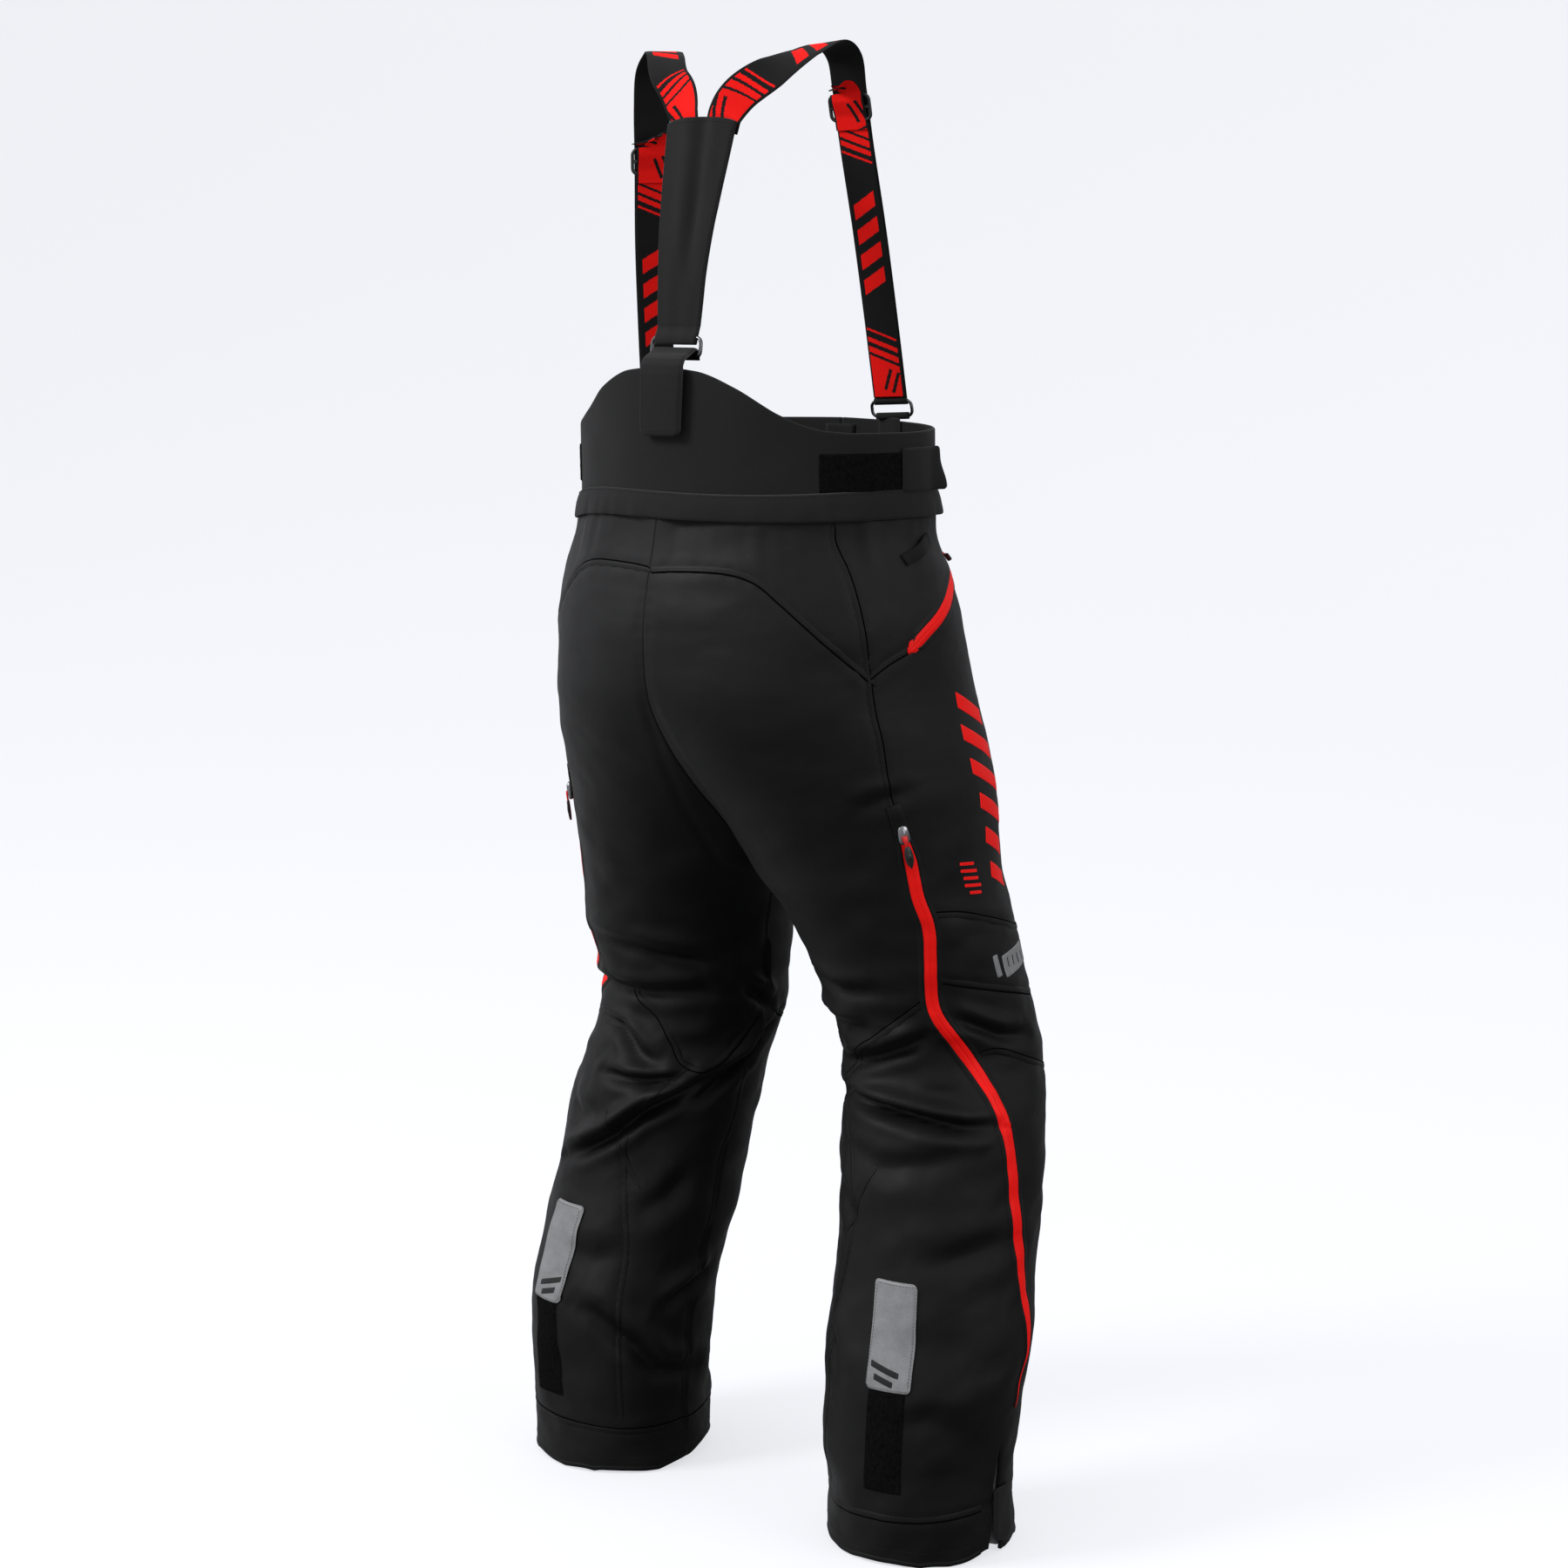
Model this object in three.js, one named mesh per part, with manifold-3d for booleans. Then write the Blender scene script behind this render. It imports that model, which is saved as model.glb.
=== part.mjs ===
// Insulated over-trousers with a high back, shoulder braces, zips and hook-and-loop tabs.
// Millimetres, +Z up, the wearer faces -Y and the wearer's right is -X. The trousers stand on their two hems.
import * as THREE from "three";
import { mergeVertices } from "three/addons/utils/BufferGeometryUtils.js";
import Module from "manifold-3d";

const wasm = await Module();
wasm.setup();

// ---- driving dimensions ----
// One half of the trousers: height, then the ellipse's centre x and y, its half width, and its front and back half depths.
const SECTIONS = [
  [0, 217, -10, 100, 103, 100],
  [50, 217, -10, 102, 104, 102],
  [100, 217, -8, 102, 104, 102],
  [150, 218, -11, 105, 107, 105],
  [200, 219, -18, 108, 111, 109],
  [250, 216, -32, 108, 111, 109],
  [300, 211, -47, 107, 110, 108],
  [350, 206, -58, 106, 109, 108],
  [400, 200, -68, 108, 111, 110],
  [450, 193, -79, 109, 112, 111],
  [500, 183, -92, 106, 110, 108],
  [530, 176, -96, 105, 110, 107],
  [560, 171, -91, 108, 113, 111],
  [600, 163, -79, 112, 118, 116],
  [640, 156, -67, 116, 124, 121],
  [680, 144, -56, 122, 132, 126],
  [710, 130, -47, 130, 140, 131],
  [745, 119, -42, 140, 148, 138],
  [780, 107, -38, 150, 157, 150],
  [820, 87, -31, 168, 165, 166],
  [865, 62, -23, 187, 172, 184],
  [915, 36, -14, 204, 178, 198],
  [960, 17, -8, 220, 176, 197],
  [1000, 6, -3, 230, 170, 191],
  [1040, 1, 0, 226, 162, 181],
  [1085, 0, 2, 213, 153, 168],
  [1108, 0, 2, 211, 151.5, 164],
];
const WALL = 4; // shell, wadding and lining together
const GAP = 0.35; // between neighbouring pieces
const RISER = { a: 209, front: 149, back: 161, cy: 2, wall: 3.5 }; // the stiff collar above the band
const BAND = { z0: 1103, z1: 1130, low: 5.5, high: 1.0, wall: 3 };
const HEM = 56; // height of the cuff
const KNEE = { z0: 492, z1: 678, pivotZ: 585 };
const SIDE_SEAM = 122; // degrees round from the front
const FRONT_SPLIT = 60;
const FRONT_TOP = 1197;
const WEB = { width: 40, thick: 2.2 };

const rad = THREE.MathUtils.degToRad;
const V = (x, y, z) => new THREE.Vector3(x, y, z);
const root = new THREE.Group();

// ---- colours and finishes ----
const mat = (color, roughness = 0.85, metalness = 0) => new THREE.MeshStandardMaterial({ color, roughness, metalness });
const SHELL = mat(0x0b0b0c), SOFT = mat(0x141416), RED = mat(0xe8140c, 0.6), WEBBING = mat(0x101011, 0.8);
const PLASTIC = mat(0x0d0d0e, 0.45), METAL = mat(0x55565a, 0.35, 0.9), REFLECT = mat(0x8f9092, 0.35, 0.3), LINING = mat(0x3a3b3d);

// ---- geometry helpers ----
function hermite(z, j) {
  const n = SECTIONS.length, Z = (i) => SECTIONS[i][0], Y = (i) => SECTIONS[i][j];
  const zz = Math.min(Math.max(z, Z(0)), Z(n - 1));
  let i = 0;
  while (i < n - 2 && zz >= Z(i + 1)) i++;
  const slope = (k) => {
    if (k === 0) return (Y(1) - Y(0)) / (Z(1) - Z(0));
    if (k === n - 1) return (Y(k) - Y(k - 1)) / (Z(k) - Z(k - 1));
    const hs = Z(k) - Z(k - 1), hd = Z(k + 1) - Z(k);
    return (hs * hs * Y(k + 1) + (hd * hd - hs * hs) * Y(k) - hd * hd * Y(k - 1)) / (hs * hd * (hd + hs));
  };
  const h = Z(i + 1) - Z(i), t = (zz - Z(i)) / h;
  return (2 * t ** 3 - 3 * t * t + 1) * Y(i) + (t ** 3 - 2 * t * t + t) * h * slope(i) + (-2 * t ** 3 + 3 * t * t) * Y(i + 1) + (t ** 3 - t * t) * h * slope(i + 1);
}
// A point of the trousers' surface at height z, deg round from the front (90 is the outer side, 180 the back, -90 and 270 the inner leg), off outwards.
function S(side, z, deg, off = 0) {
  const [cx, yc, rx, rf, rb] = [1, 2, 3, 4, 5].map((j) => hermite(z, j));
  const s = Math.sin(rad(deg)), c = Math.cos(rad(deg));
  return V(side * (cx + (rx + off) * s), yc - ((c > 0 ? rf : rb) + off) * c, z);
}
// How far past front and back centre an arc runs before it meets the plane between the halves.
const past = (z) => THREE.MathUtils.radToDeg(Math.asin(Math.min(1, hermite(z, 1) / hermite(z, 3))));
// A point of the collar's surface, deg round from the front towards the wearer's left.
function C(z, deg, off = 0) {
  const s = Math.sin(rad(deg)), c = Math.cos(rad(deg));
  return V((RISER.a + off) * s, RISER.cy - ((c > 0 ? RISER.front : RISER.back) + off) * c, z);
}

function closed(vertices, faces) {
  const g = new THREE.BufferGeometry();
  g.setAttribute("position", new THREE.Float32BufferAttribute(vertices.flatMap((v) => [v.x, v.y, v.z]), 3));
  let vol = 0;
  for (const [a, b, c] of faces) vol += vertices[a].dot(V(0, 0, 0).crossVectors(vertices[b], vertices[c]));
  g.setIndex((vol < 0 ? faces.map(([a, b, c]) => [a, c, b]) : faces).flat());
  return g;
}
// A curved sheet with thickness: f(u, v, off) for u and v from 0 to 1. ring closes it round u.
function sheet(f, nu, nv, outer, inner, ring = false) {
  const cols = ring ? nu : nu + 1, vertices = [], faces = [];
  for (const off of [outer, inner]) for (let j = 0; j <= nv; j++) for (let i = 0; i < cols; i++) vertices.push(f(i / nu, j / nv, off));
  const id = (s, i, j) => s * cols * (nv + 1) + j * cols + (i % cols);
  const quad = (a, b, c, d) => faces.push([a, b, c], [a, c, d]);
  for (let j = 0; j < nv; j++)
    for (let i = 0; i < nu; i++) {
      quad(id(0, i, j), id(0, i + 1, j), id(0, i + 1, j + 1), id(0, i, j + 1));
      quad(id(1, i, j), id(1, i, j + 1), id(1, i + 1, j + 1), id(1, i + 1, j));
    }
  for (let i = 0; i < nu; i++) {
    quad(id(0, i, 0), id(1, i, 0), id(1, i + 1, 0), id(0, i + 1, 0));
    quad(id(0, i, nv), id(0, i + 1, nv), id(1, i + 1, nv), id(1, i, nv));
  }
  if (!ring)
    for (let j = 0; j < nv; j++) {
      quad(id(0, 0, j), id(0, 0, j + 1), id(1, 0, j + 1), id(1, 0, j));
      quad(id(0, nu, j), id(1, nu, j), id(1, nu, j + 1), id(0, nu, j + 1));
    }
  return closed(vertices, faces);
}
// A flat band that follows stations {p, w, n}: middle point, unit width direction and unit normal.
function band(stations, width, thick) {
  const vertices = [], faces = [];
  for (const { p, w, n, k = 1 } of stations)
    for (const [a, b] of [[-1, -1], [1, -1], [1, 1], [-1, 1]])
      vertices.push(p.clone().addScaledVector(w, (a * width * k) / 2).addScaledVector(n, (b * thick) / 2));
  for (let i = 0; i < stations.length - 1; i++)
    for (let q = 0; q < 4; q++) {
      const a = i * 4 + q, b = i * 4 + ((q + 1) % 4);
      faces.push([a, b, b + 4], [a, b + 4, a + 4]);
    }
  const e = (stations.length - 1) * 4;
  faces.push([0, 2, 1], [0, 3, 2], [e, e + 1, e + 2], [e, e + 2, e + 3]);
  return closed(vertices, faces);
}
// Stations along a smooth curve through points; the width direction is read from the listed ones and squared to the path.
function stations(points, widths, count, from = 0, to = Infinity) {
  const curve = new THREE.CatmullRomCurve3(points, false, "centripetal");
  const out = [], length = curve.getLength();
  for (let i = 0; i <= count; i++) {
    const along = from + ((Math.min(to, length) - from) * i) / count;
    const t = curve.getUtoTmapping(Math.min(1, along / length)), p = curve.getPoint(t), tan = curve.getTangent(t);
    const s = t * (widths.length - 1), k = Math.min(Math.floor(s), widths.length - 2);
    const w = widths[k].clone().lerp(widths[k + 1], s - k).normalize();
    w.addScaledVector(tan, -w.dot(tan)).normalize();
    out.push({ p, w, n: V(0, 0, 0).crossVectors(tan, w).normalize() });
  }
  return out;
}
function toSolid(g) {
  const clean = g.clone();
  clean.deleteAttribute("normal");
  clean.deleteAttribute("uv");
  const m = mergeVertices(clean, 1e-3);
  return new wasm.Manifold(new wasm.Mesh({ numProp: 3, vertProperties: m.attributes.position.array, triVerts: new Uint32Array(m.index.array) }));
}
function fromSolid(s) {
  const m = s.getMesh(), g = new THREE.BufferGeometry();
  g.setAttribute("position", new THREE.BufferAttribute(m.vertProperties, 3));
  g.setIndex(new THREE.BufferAttribute(m.triVerts, 1));
  return g;
}
// A matrix that stands x along w, y along n (outwards) and z along up, at p.
function frame(p, n, up) {
  const y = n.clone().normalize(), z = up.clone().addScaledVector(y, -up.dot(y)).normalize(), x = V(0, 0, 0).crossVectors(y, z);
  return new THREE.Matrix4().makeBasis(x, y, z).setPosition(p);
}
function add(name, geometry, material, matrix) {
  const m = new THREE.Mesh(geometry, material);
  m.name = name;
  if (matrix) m.applyMatrix4(matrix);
  root.add(m);
  return m;
}
const SIDES = [["left", 1], ["right", -1]];

// ---- shell panels ----
const yokeSeam = (deg) => {
  const T = [[118, 945], [130, 984], [141, 1023], [148, 1044], [157, 1053], [200, 1053]];
  for (let i = 1; i < T.length; i++) if (deg <= T[i][0]) return THREE.MathUtils.lerp(T[i - 1][1], T[i][1], (deg - T[i - 1][0]) / (T[i][0] - T[i - 1][0]));
  return 1053;
};
const TOP = BAND.z0 + 2;
for (const [word, side] of SIDES) {
  // low holds the heights above z0 of the first rows, so that neighbours share them round the crotch
  const legPanel = (a0, a1, z0, z1, nu, nv, low = []) =>
    sheet(
      (u, v, off) => {
        const j = Math.round(v * nv), last = low.length - 1;
        const height = (a, b) => (j <= last ? a + low[j] : last < 0 ? a + (b - a) * v : a + low[last] + ((b - a - low[last]) * (j - last)) / (nv - last));
        // the seam's angle is found at the height, and the height at the angle, so a few passes settle both
        let z = height(z0(0), z1(0)), deg = 0;
        for (let k = 0; k < 4; k++) {
          const lo = a0(z), hi = a1(z);
          deg = lo + (hi - lo) * u;
          z = height(z0(deg), z1(deg));
        }
        return S(side, z, deg, off);
      },
      nu, nv, 0, -WALL,
    );
  const k = (c) => () => c;
  const d = 0.2; // half of the gap, in degrees
  const LOW = [0, 16, 32, 48, 67, 97];
  add("seat_" + word, legPanel(k(SIDE_SEAM + d), (z) => 180 + past(z) - 2 * d, k(KNEE.z1 + GAP), (g) => yokeSeam(g) - 1.2, 8, 13, LOW), SHELL);
  add("hip_side_" + word, legPanel(k(FRONT_SPLIT + d), k(SIDE_SEAM - d), k(KNEE.z1 + GAP), k(TOP - GAP), 5, 13, LOW), SHELL);
  add("front_" + word, legPanel((z) => -past(z) + 2 * d, k(FRONT_SPLIT - d), k(KNEE.z1 + GAP), k(TOP - GAP), 8, 13, LOW), SHELL);
  add("knee_" + word, sheet((u, v, off) => S(side, KNEE.z0 + (KNEE.z1 - KNEE.z0) * v, u * 360, off), 20, 8, 0, -WALL, true), SHELL);
  add("shin_" + word, legPanel(k(-90 + d), k(92 - d), k(HEM + GAP), k(KNEE.z0 - GAP), 9, 8), SHELL);
  add("calf_" + word, legPanel(k(92 + d), k(270 - d), k(HEM + GAP), k(KNEE.z0 - GAP), 9, 8), SHELL);
  add("cuff_" + word, sheet((u, v, off) => S(side, HEM * v, 95 + 350 * u, off), 18, 1, 0.5, -WALL), SHELL);
  add("gaiter_" + word, sheet((u, v, off) => S(side, 60 + 130 * v, 360 * u, off - 7 * (1 - v)), 20, 3, -7.6, -9.4, true), LINING);
}
// The yoke joins both halves across the back.
add("back_yoke", sheet((u, v, off) => {
  const s = 1 - 2 * u, side = s < 0 ? -1 : 1;
  let z = TOP - GAP, deg = 180;
  for (let k = 0; k < 3; k++) {
    const end = 180 + past(z);
    deg = end + (SIDE_SEAM + 0.14 - end) * Math.abs(s);
    z = yokeSeam(deg) + (TOP - GAP - yokeSeam(deg)) * v;
  }
  return S(side, z, deg, off);
}, 16, 3, 0, -WALL), SHELL);

// ---- collar, band and fly ----
// Height of the collar's top edge, deg from back centre.
const rim = (deg) => {
  const T = [[0, 1258], [7, 1257], [14, 1254], [19, 1248], [27, 1235], [37, 1214], [44, 1203], [52, 1195], [90, 1192], [180, FRONT_TOP]];
  const a = Math.min(180, Math.abs(deg));
  for (let i = 1; i < T.length; i++) if (a <= T[i][0]) return THREE.MathUtils.lerp(T[i - 1][1], T[i][1], (a - T[i - 1][0]) / (T[i][0] - T[i - 1][0]));
  return FRONT_TOP;
};
const ZC = BAND.z0 + 5; // the collar starts inside the band
add("back_collar", sheet((u, v, off) => { const b = -84 + 168 * u, z = ZC + (rim(b) - ZC) * v; return C(z, 180 + b, off); }, 22, 2, 0, -RISER.wall), SOFT);
for (const [word, side] of SIDES)
  add("front_collar_" + word, sheet((u, v, off) => { const g = 1 + 94.5 * u, z = ZC + (rim(180 - g) - ZC) * v; return C(z, side * g, off); }, 10, 1, 0, -RISER.wall), SOFT);
add("waistband", sheet((u, v, off) => C(BAND.z0 + (BAND.z1 - BAND.z0) * v, 8 + 344 * u, off + BAND.low + (BAND.high - BAND.low) * v), 34, 1, BAND.wall, 0), SOFT);
add("fly_zip", sheet((u, v, off) => { const z = 905 + (1098 - 905) * v, x = -15 + 30 * u, yc = hermite(z, 2), r = hermite(z, 4); return V(x, yc - (r + off) * Math.sqrt(1 - (x / 300) ** 2) + 0.6 * (1 - v), z); }, 4, 6, 4.6, 1.2), SHELL);
add("waist_snap", new THREE.CylinderGeometry(7.5, 8, 3, 20), METAL, frame(V(0, C(1150, 0, 2.0).y, 1150), V(0, -1, 0), V(0, 0, 1)));

// ---- waist adjusters ----
for (const [word, side] of SIDES) {
  const piece = (g0, g1, z0, z1, o0, o1, n) => sheet((u, v, off) => C(z0 + (z1 - z0) * v, side * (g0 + (g1 - g0) * u), off), n, 1, o0, o1);
  add("waist_loop_patch_" + word, piece(97, 129, 1134, 1170, 1.6, 0.4, 5), SOFT);
  add("waist_tab_" + word, piece(70, 101, 1133, 1175, 4.6, 2.4, 5), SOFT);
}

// ---- rear brace: yoke, ring and hook-and-loop tab ----
const REAR = { ringZ: 1278, ringY: 134.5 };
const yokeLine = (v) => V(0, THREE.MathUtils.lerp(131.5, 92.5, v) + 5 * Math.sin(Math.PI * v), THREE.MathUtils.lerp(1293, 1509, v));
add("brace_yoke", sheet((u, v, off) => {
  const p = yokeLine(v), half = THREE.MathUtils.lerp(28, 47.5, v ** 1.15), s = 2 * u - 1;
  return V(s * half + 4 * v, p.y + off - 4 * s * s * v, p.z + (v > 0.99 ? 3 * (1 - s * s) : 0));
}, 6, 6, 2.2, -2.2), SOFT);
const roundRect = (w, h, r, Path = THREE.Shape) => {
  const s = new Path();
  s.moveTo(-w / 2 + r, -h / 2); s.lineTo(w / 2 - r, -h / 2); s.absarc(w / 2 - r, -h / 2 + r, r, -Math.PI / 2, 0, false);
  s.lineTo(w / 2, h / 2 - r); s.absarc(w / 2 - r, h / 2 - r, r, 0, Math.PI / 2, false);
  s.lineTo(-w / 2 + r, h / 2); s.absarc(-w / 2 + r, h / 2 - r, r, Math.PI / 2, Math.PI, false);
  s.lineTo(-w / 2, -h / 2 + r); s.absarc(-w / 2 + r, -h / 2 + r, r, Math.PI, 1.5 * Math.PI, false);
  return s;
};
// A flat piece lying in x-z with its thickness along y, centred.
const plate = (shape, thick, curveSegments = 4) => new THREE.ExtrudeGeometry(shape, { depth: thick, bevelEnabled: false, curveSegments }).translate(0, 0, -thick / 2).rotateX(Math.PI / 2);
const loopRing = (w, h, wire, thick) => { const s = roundRect(w, h, 5); s.holes.push(roundRect(w - 2 * wire, h - 2 * wire, 3, THREE.Path)); return plate(s, thick, 3); };
add("rear_ring", loopRing(70, 24, 4, 4), METAL, frame(V(0, REAR.ringY, REAR.ringZ), V(0, 1, 0.12), V(0, 0, 1)));
// The tab hangs from the ring's lower bar, outside the collar.
const tabLine = [[136.5, 1261.5], [167.2, 1259], [168.6, 1240], [169.2, 1215], [169.4, 1190]];
add("rear_tab", sheet((u, v, off) => {
  const s = 2 * u - 1, z = 1260 - 70 * v, half = v > 0.9 ? 25 : 28.5, x = s * half - 8, y = RISER.cy + (RISER.back + off) * Math.sqrt(Math.max(0, 1 - (x / RISER.a) ** 2)) + 0.012 * (1260 - z);
  return V(x, y, z);
}, 4, 5, 7.2, 4.6), SOFT);

// ---- shoulder straps ----
const STRAP = {
  right: {
    side: -1,
    path: [[-29, 86.5, 1499], [-33, 86, 1516], [-44, 80, 1536], [-66, 58, 1558], [-80, 22, 1578], [-84, -16, 1589], [-80, -44, 1577], [-76, -58, 1545], [-75, -72, 1490], [-76, -94, 1400], [-77, -113, 1310], [-78, -130.7, 1219]],
    width: [[0.99, 0.08, 0.0], [0.97, 0.2, 0.1], [0.88, 0.46, 0.12], [0.83, 0.55, 0.0], [0.9, 0.42, -0.1], [0.95, 0.3, -0.12], [0.94, 0.34, -0.1], [0.93, 0.36, 0], [0.92, 0.38, 0], [0.93, 0.36, 0], [0.94, 0.34, 0], [0.95, 0.3, 0]],
    adjust: 270,
  },
  left: {
    side: 1,
    path: [[29, 86, 1499], [31, 85, 1516], [42, 80, 1538], [62, 72, 1558], [95, 40, 1582], [128, 8, 1585], [152, -6, 1566], [160, -12, 1530], [163, -16, 1475], [172, -26, 1390], [180, -38, 1310], [186, -49.5, 1221]],
    width: [[0.99, -0.1, 0.0], [0.99, -0.06, 0.0], [0.88, 0.36, -0.35], [0.72, 0.66, -0.2], [0.66, 0.75, 0.0], [0.62, 0.78, 0.0], [0.6, 0.8, 0.05], [0.6, 0.8, 0], [0.6, 0.8, 0], [0.6, 0.8, 0], [0.55, 0.83, 0], [0.5, 0.86, 0]],
    adjust: 315,
  },
};
for (const [word, side] of SIDES) {
  const s = STRAP[word], pts = s.path.map((p) => V(...p)), ws = s.width.map((w) => V(...w));
  const run = stations(pts, ws, 30);
  add("strap_" + word, band(run, WEB.width, WEB.thick), WEBBING);
  // the normal that looks in at the wearer's back from the front run
  const total = new THREE.CatmullRomCurve3(pts, false, "centripetal").getLength();
  const t0 = s.adjust, back = stations(pts, ws, 12, t0, total - 3);
  const sign = back[4].n.y > 0 ? 1 : -1;
  for (const q of back) q.p.addScaledVector(q.n, sign * (WEB.thick + 0.5));
  add("strap_return_" + word, band(back, WEB.width - 1, WEB.thick - 0.4), WEBBING);
  // the slide that sets the strap's length: two end bars outside the webbing and a middle bar behind it
  const at = stations(pts, ws, 1, t0 - 17, t0)[0];
  const up = V(0, 0, 0).crossVectors(at.w, at.n).multiplyScalar(-1);
  const outward = at.n.clone().multiplyScalar(sign);
  const fr = frame(at.p.clone().addScaledVector(outward, 4.2), outward, up.z > 0 ? up : up.clone().negate());
  const both = roundRect(WEB.width + 10, 30, 5), up1 = new THREE.Path(), dn1 = new THREE.Path();
  const hw = (WEB.width + 1.5) / 2;
  up1.moveTo(-hw, 3); up1.lineTo(-hw, 11); up1.lineTo(hw, 11); up1.lineTo(hw, 3); up1.closePath();
  dn1.moveTo(-hw, -11); dn1.lineTo(-hw, -3); dn1.lineTo(hw, -3); dn1.lineTo(hw, -11); dn1.closePath();
  both.holes.push(up1, dn1);
  add("adjuster_" + word, plate(both, 3.4, 3), PLASTIC, fr);
  // ring and inner tab at the collar
  const end = run[run.length - 1], dir = run[run.length - 1].p.clone().sub(run[run.length - 3].p).normalize();
  const upv = dir.clone().negate();
  const ringAt = end.p.clone().addScaledVector(dir, 10.5);
  add("front_ring_" + word, loopRing(WEB.width + 12, 20, 3.5, 3.4), METAL, frame(ringAt, end.n.clone().multiplyScalar(sign), upv));
  const deg = side > 0 ? 68 : -22, w0 = C(1180, deg, 0), tangent = C(1180, deg + 1, 0).sub(w0).normalize();
  add("front_tab_" + word, sheet((u, v, off) => {
    const z = 1196 - 77 * v, g = deg + (u - 0.5) * (side > 0 ? 14.5 : 11.5), p = C(z, g, -RISER.wall - 1 + off);
    return p;
  }, 3, 3, 0, -2.4), SOFT);
}

// ---- zips, loops and tabs on the legs ----
const VENT = [[783, 125], [741, 125], [684, 126], [645, 131], [618, 135], [582, 138], [546, 131], [507, 119], [480, 112], [444, 105], [399, 100], [360, 96], [303, 88], [264, 81], [225, 76], [201, 76], [160, 79]];
const ventAt = (t) => {
  const s = t * (VENT.length - 1), k = Math.min(Math.floor(s), VENT.length - 2), f = s - k;
  return [THREE.MathUtils.lerp(VENT[k][0], VENT[k + 1][0], f), THREE.MathUtils.lerp(VENT[k][1], VENT[k + 1][1], f)];
};
function normalAt(side, z, deg) {
  const p = S(side, z, deg), a = S(side, z, deg + 0.5).sub(p), b = S(side, z + 2, deg).sub(p);
  const n = V(0, 0, 0).crossVectors(a, b).normalize();
  return n.dot(S(side, z, deg, 10).sub(p)) < 0 ? n.negate() : n;
}
for (const [word, side] of SIDES) {
  add("vent_zip_" + word, sheet((u, v, off) => {
    const [z, deg] = ventAt(v), half = (14 * Math.min(1, 0.35 + v * 4, 0.2 + (1 - v) * 3)) / 2;
    return S(side, z, deg + THREE.MathUtils.radToDeg(((2 * u - 1) * half) / hermite(z, 3)), off);
  }, 2, 44, 2.9, 1.4), RED);
  const zipDir = S(side, 750, 125, 0).sub(S(side, 640, 131, 0)).normalize();
  const n = normalAt(side, 772, 125), p = S(side, 776, 125, 5.2);
  const body = new THREE.Shape();
  body.moveTo(-6, -10); body.lineTo(6, -10); body.lineTo(7, 2); body.lineTo(4.5, 10); body.lineTo(-4.5, 10); body.lineTo(-7, 2); body.closePath();
  add("vent_slider_" + word, plate(body, 4.2), METAL, frame(p, n, zipDir));
  const pull = roundRect(8, 34, 3);
  add("vent_pull_" + word, plate(pull, 2.6, 3), PLASTIC, frame(p.clone().addScaledVector(n, 4.4).addScaledVector(zipDir, -14), n, zipDir));
  // hand pocket
  const P = [[972, 103], [993, 94], [1017, 80], [1038, 64], [1047, 54], [1054, 44], [1058, 37]];
  const pocketAt = (t) => { const s = t * (P.length - 1), k = Math.min(Math.floor(s), P.length - 2), f = s - k; return [THREE.MathUtils.lerp(P[k][0], P[k + 1][0], f), THREE.MathUtils.lerp(P[k][1], P[k + 1][1], f)]; };
  add("pocket_zip_" + word, sheet((u, v, off) => { const [z, deg] = pocketAt(v); return S(side, z + (u - 0.5) * 15, deg - (u - 0.5) * 1.5, off); }, 2, 24, 2.2, 0.8), RED);
  const pn = normalAt(side, 1055, 43), pp = S(side, 1055, 42.5, 4.6), pd = S(side, 1058, 37).sub(S(side, 1050, 49.5)).normalize();
  add("pocket_slider_" + word, plate(body, 4).scale(0.85, 0.9, 0.85), METAL, frame(pp, pn, pd));
  add("pocket_pull_" + word, plate(roundRect(7, 28, 3), 2.4, 3), PLASTIC, frame(pp.clone().addScaledVector(pn, 4.9).addScaledVector(pd, -10), pn, pd));
  // hanging loop at the hip
  const hn = normalAt(side, 1072, 90), hp = S(side, 1072, 90, 2.6);
  add("hip_loop_" + word, sheet((u, v, off) => S(side, 1070 + 8 * u + (v - 0.5) * 14 - 5, 101 - 21 * u, off), 4, 1, 4.6, 2.4), WEBBING);
  // hook-and-loop calf tab, sewn along its top edge
  add("calf_tab_" + word, sheet((u, v, off) => { const z = 304 - 112 * v, half = v > 0.93 ? 12.5 : 14; return S(side, z, 168 + (2 * u - 1) * half, off); }, 4, 5, 4.4, 1.6), REFLECT);
  // cuff tab with its press stud, beside the slit at the outer side
  add("cuff_tab_" + word, sheet((u, v, off) => S(side, 12 + 62 * v, 76 + 15 * u, off), 2, 3, 4.2, 1.8), SOFT);
}
// ---- fly zip ----
{
  const p = V(0, S(1, 1066, 0, 9.4).y, 1066);
  const sh = new THREE.Shape();
  sh.moveTo(-5, -8); sh.lineTo(5, -8); sh.lineTo(5.5, 2); sh.lineTo(3.5, 8); sh.lineTo(-3.5, 8); sh.lineTo(-5.5, 2); sh.closePath();
  const fd = V(0, S(1, 1070, 0).y - S(1, 1000, 0).y, 70).normalize(), fn = V(0, -fd.z, fd.y);
  add("fly_slider", plate(sh, 3.6), METAL, frame(p, fn, fd));
  add("fly_pull", plate(roundRect(7, 26, 3), 2.2, 3), PLASTIC, frame(p.clone().addScaledVector(fn, 4.6).addScaledVector(fd, -10), fn, fd));
}

// The origin goes to the middle of the box's underside.
root.updateMatrixWorld(true);
const box = new THREE.Box3().setFromObject(root, true);
root.position.set(-(box.min.x + box.max.x) / 2, -(box.min.y + box.max.y) / 2, -box.min.z);
export default root;
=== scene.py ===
import math

import bpy
import numpy as np
from mathutils import Matrix, Vector


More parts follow.
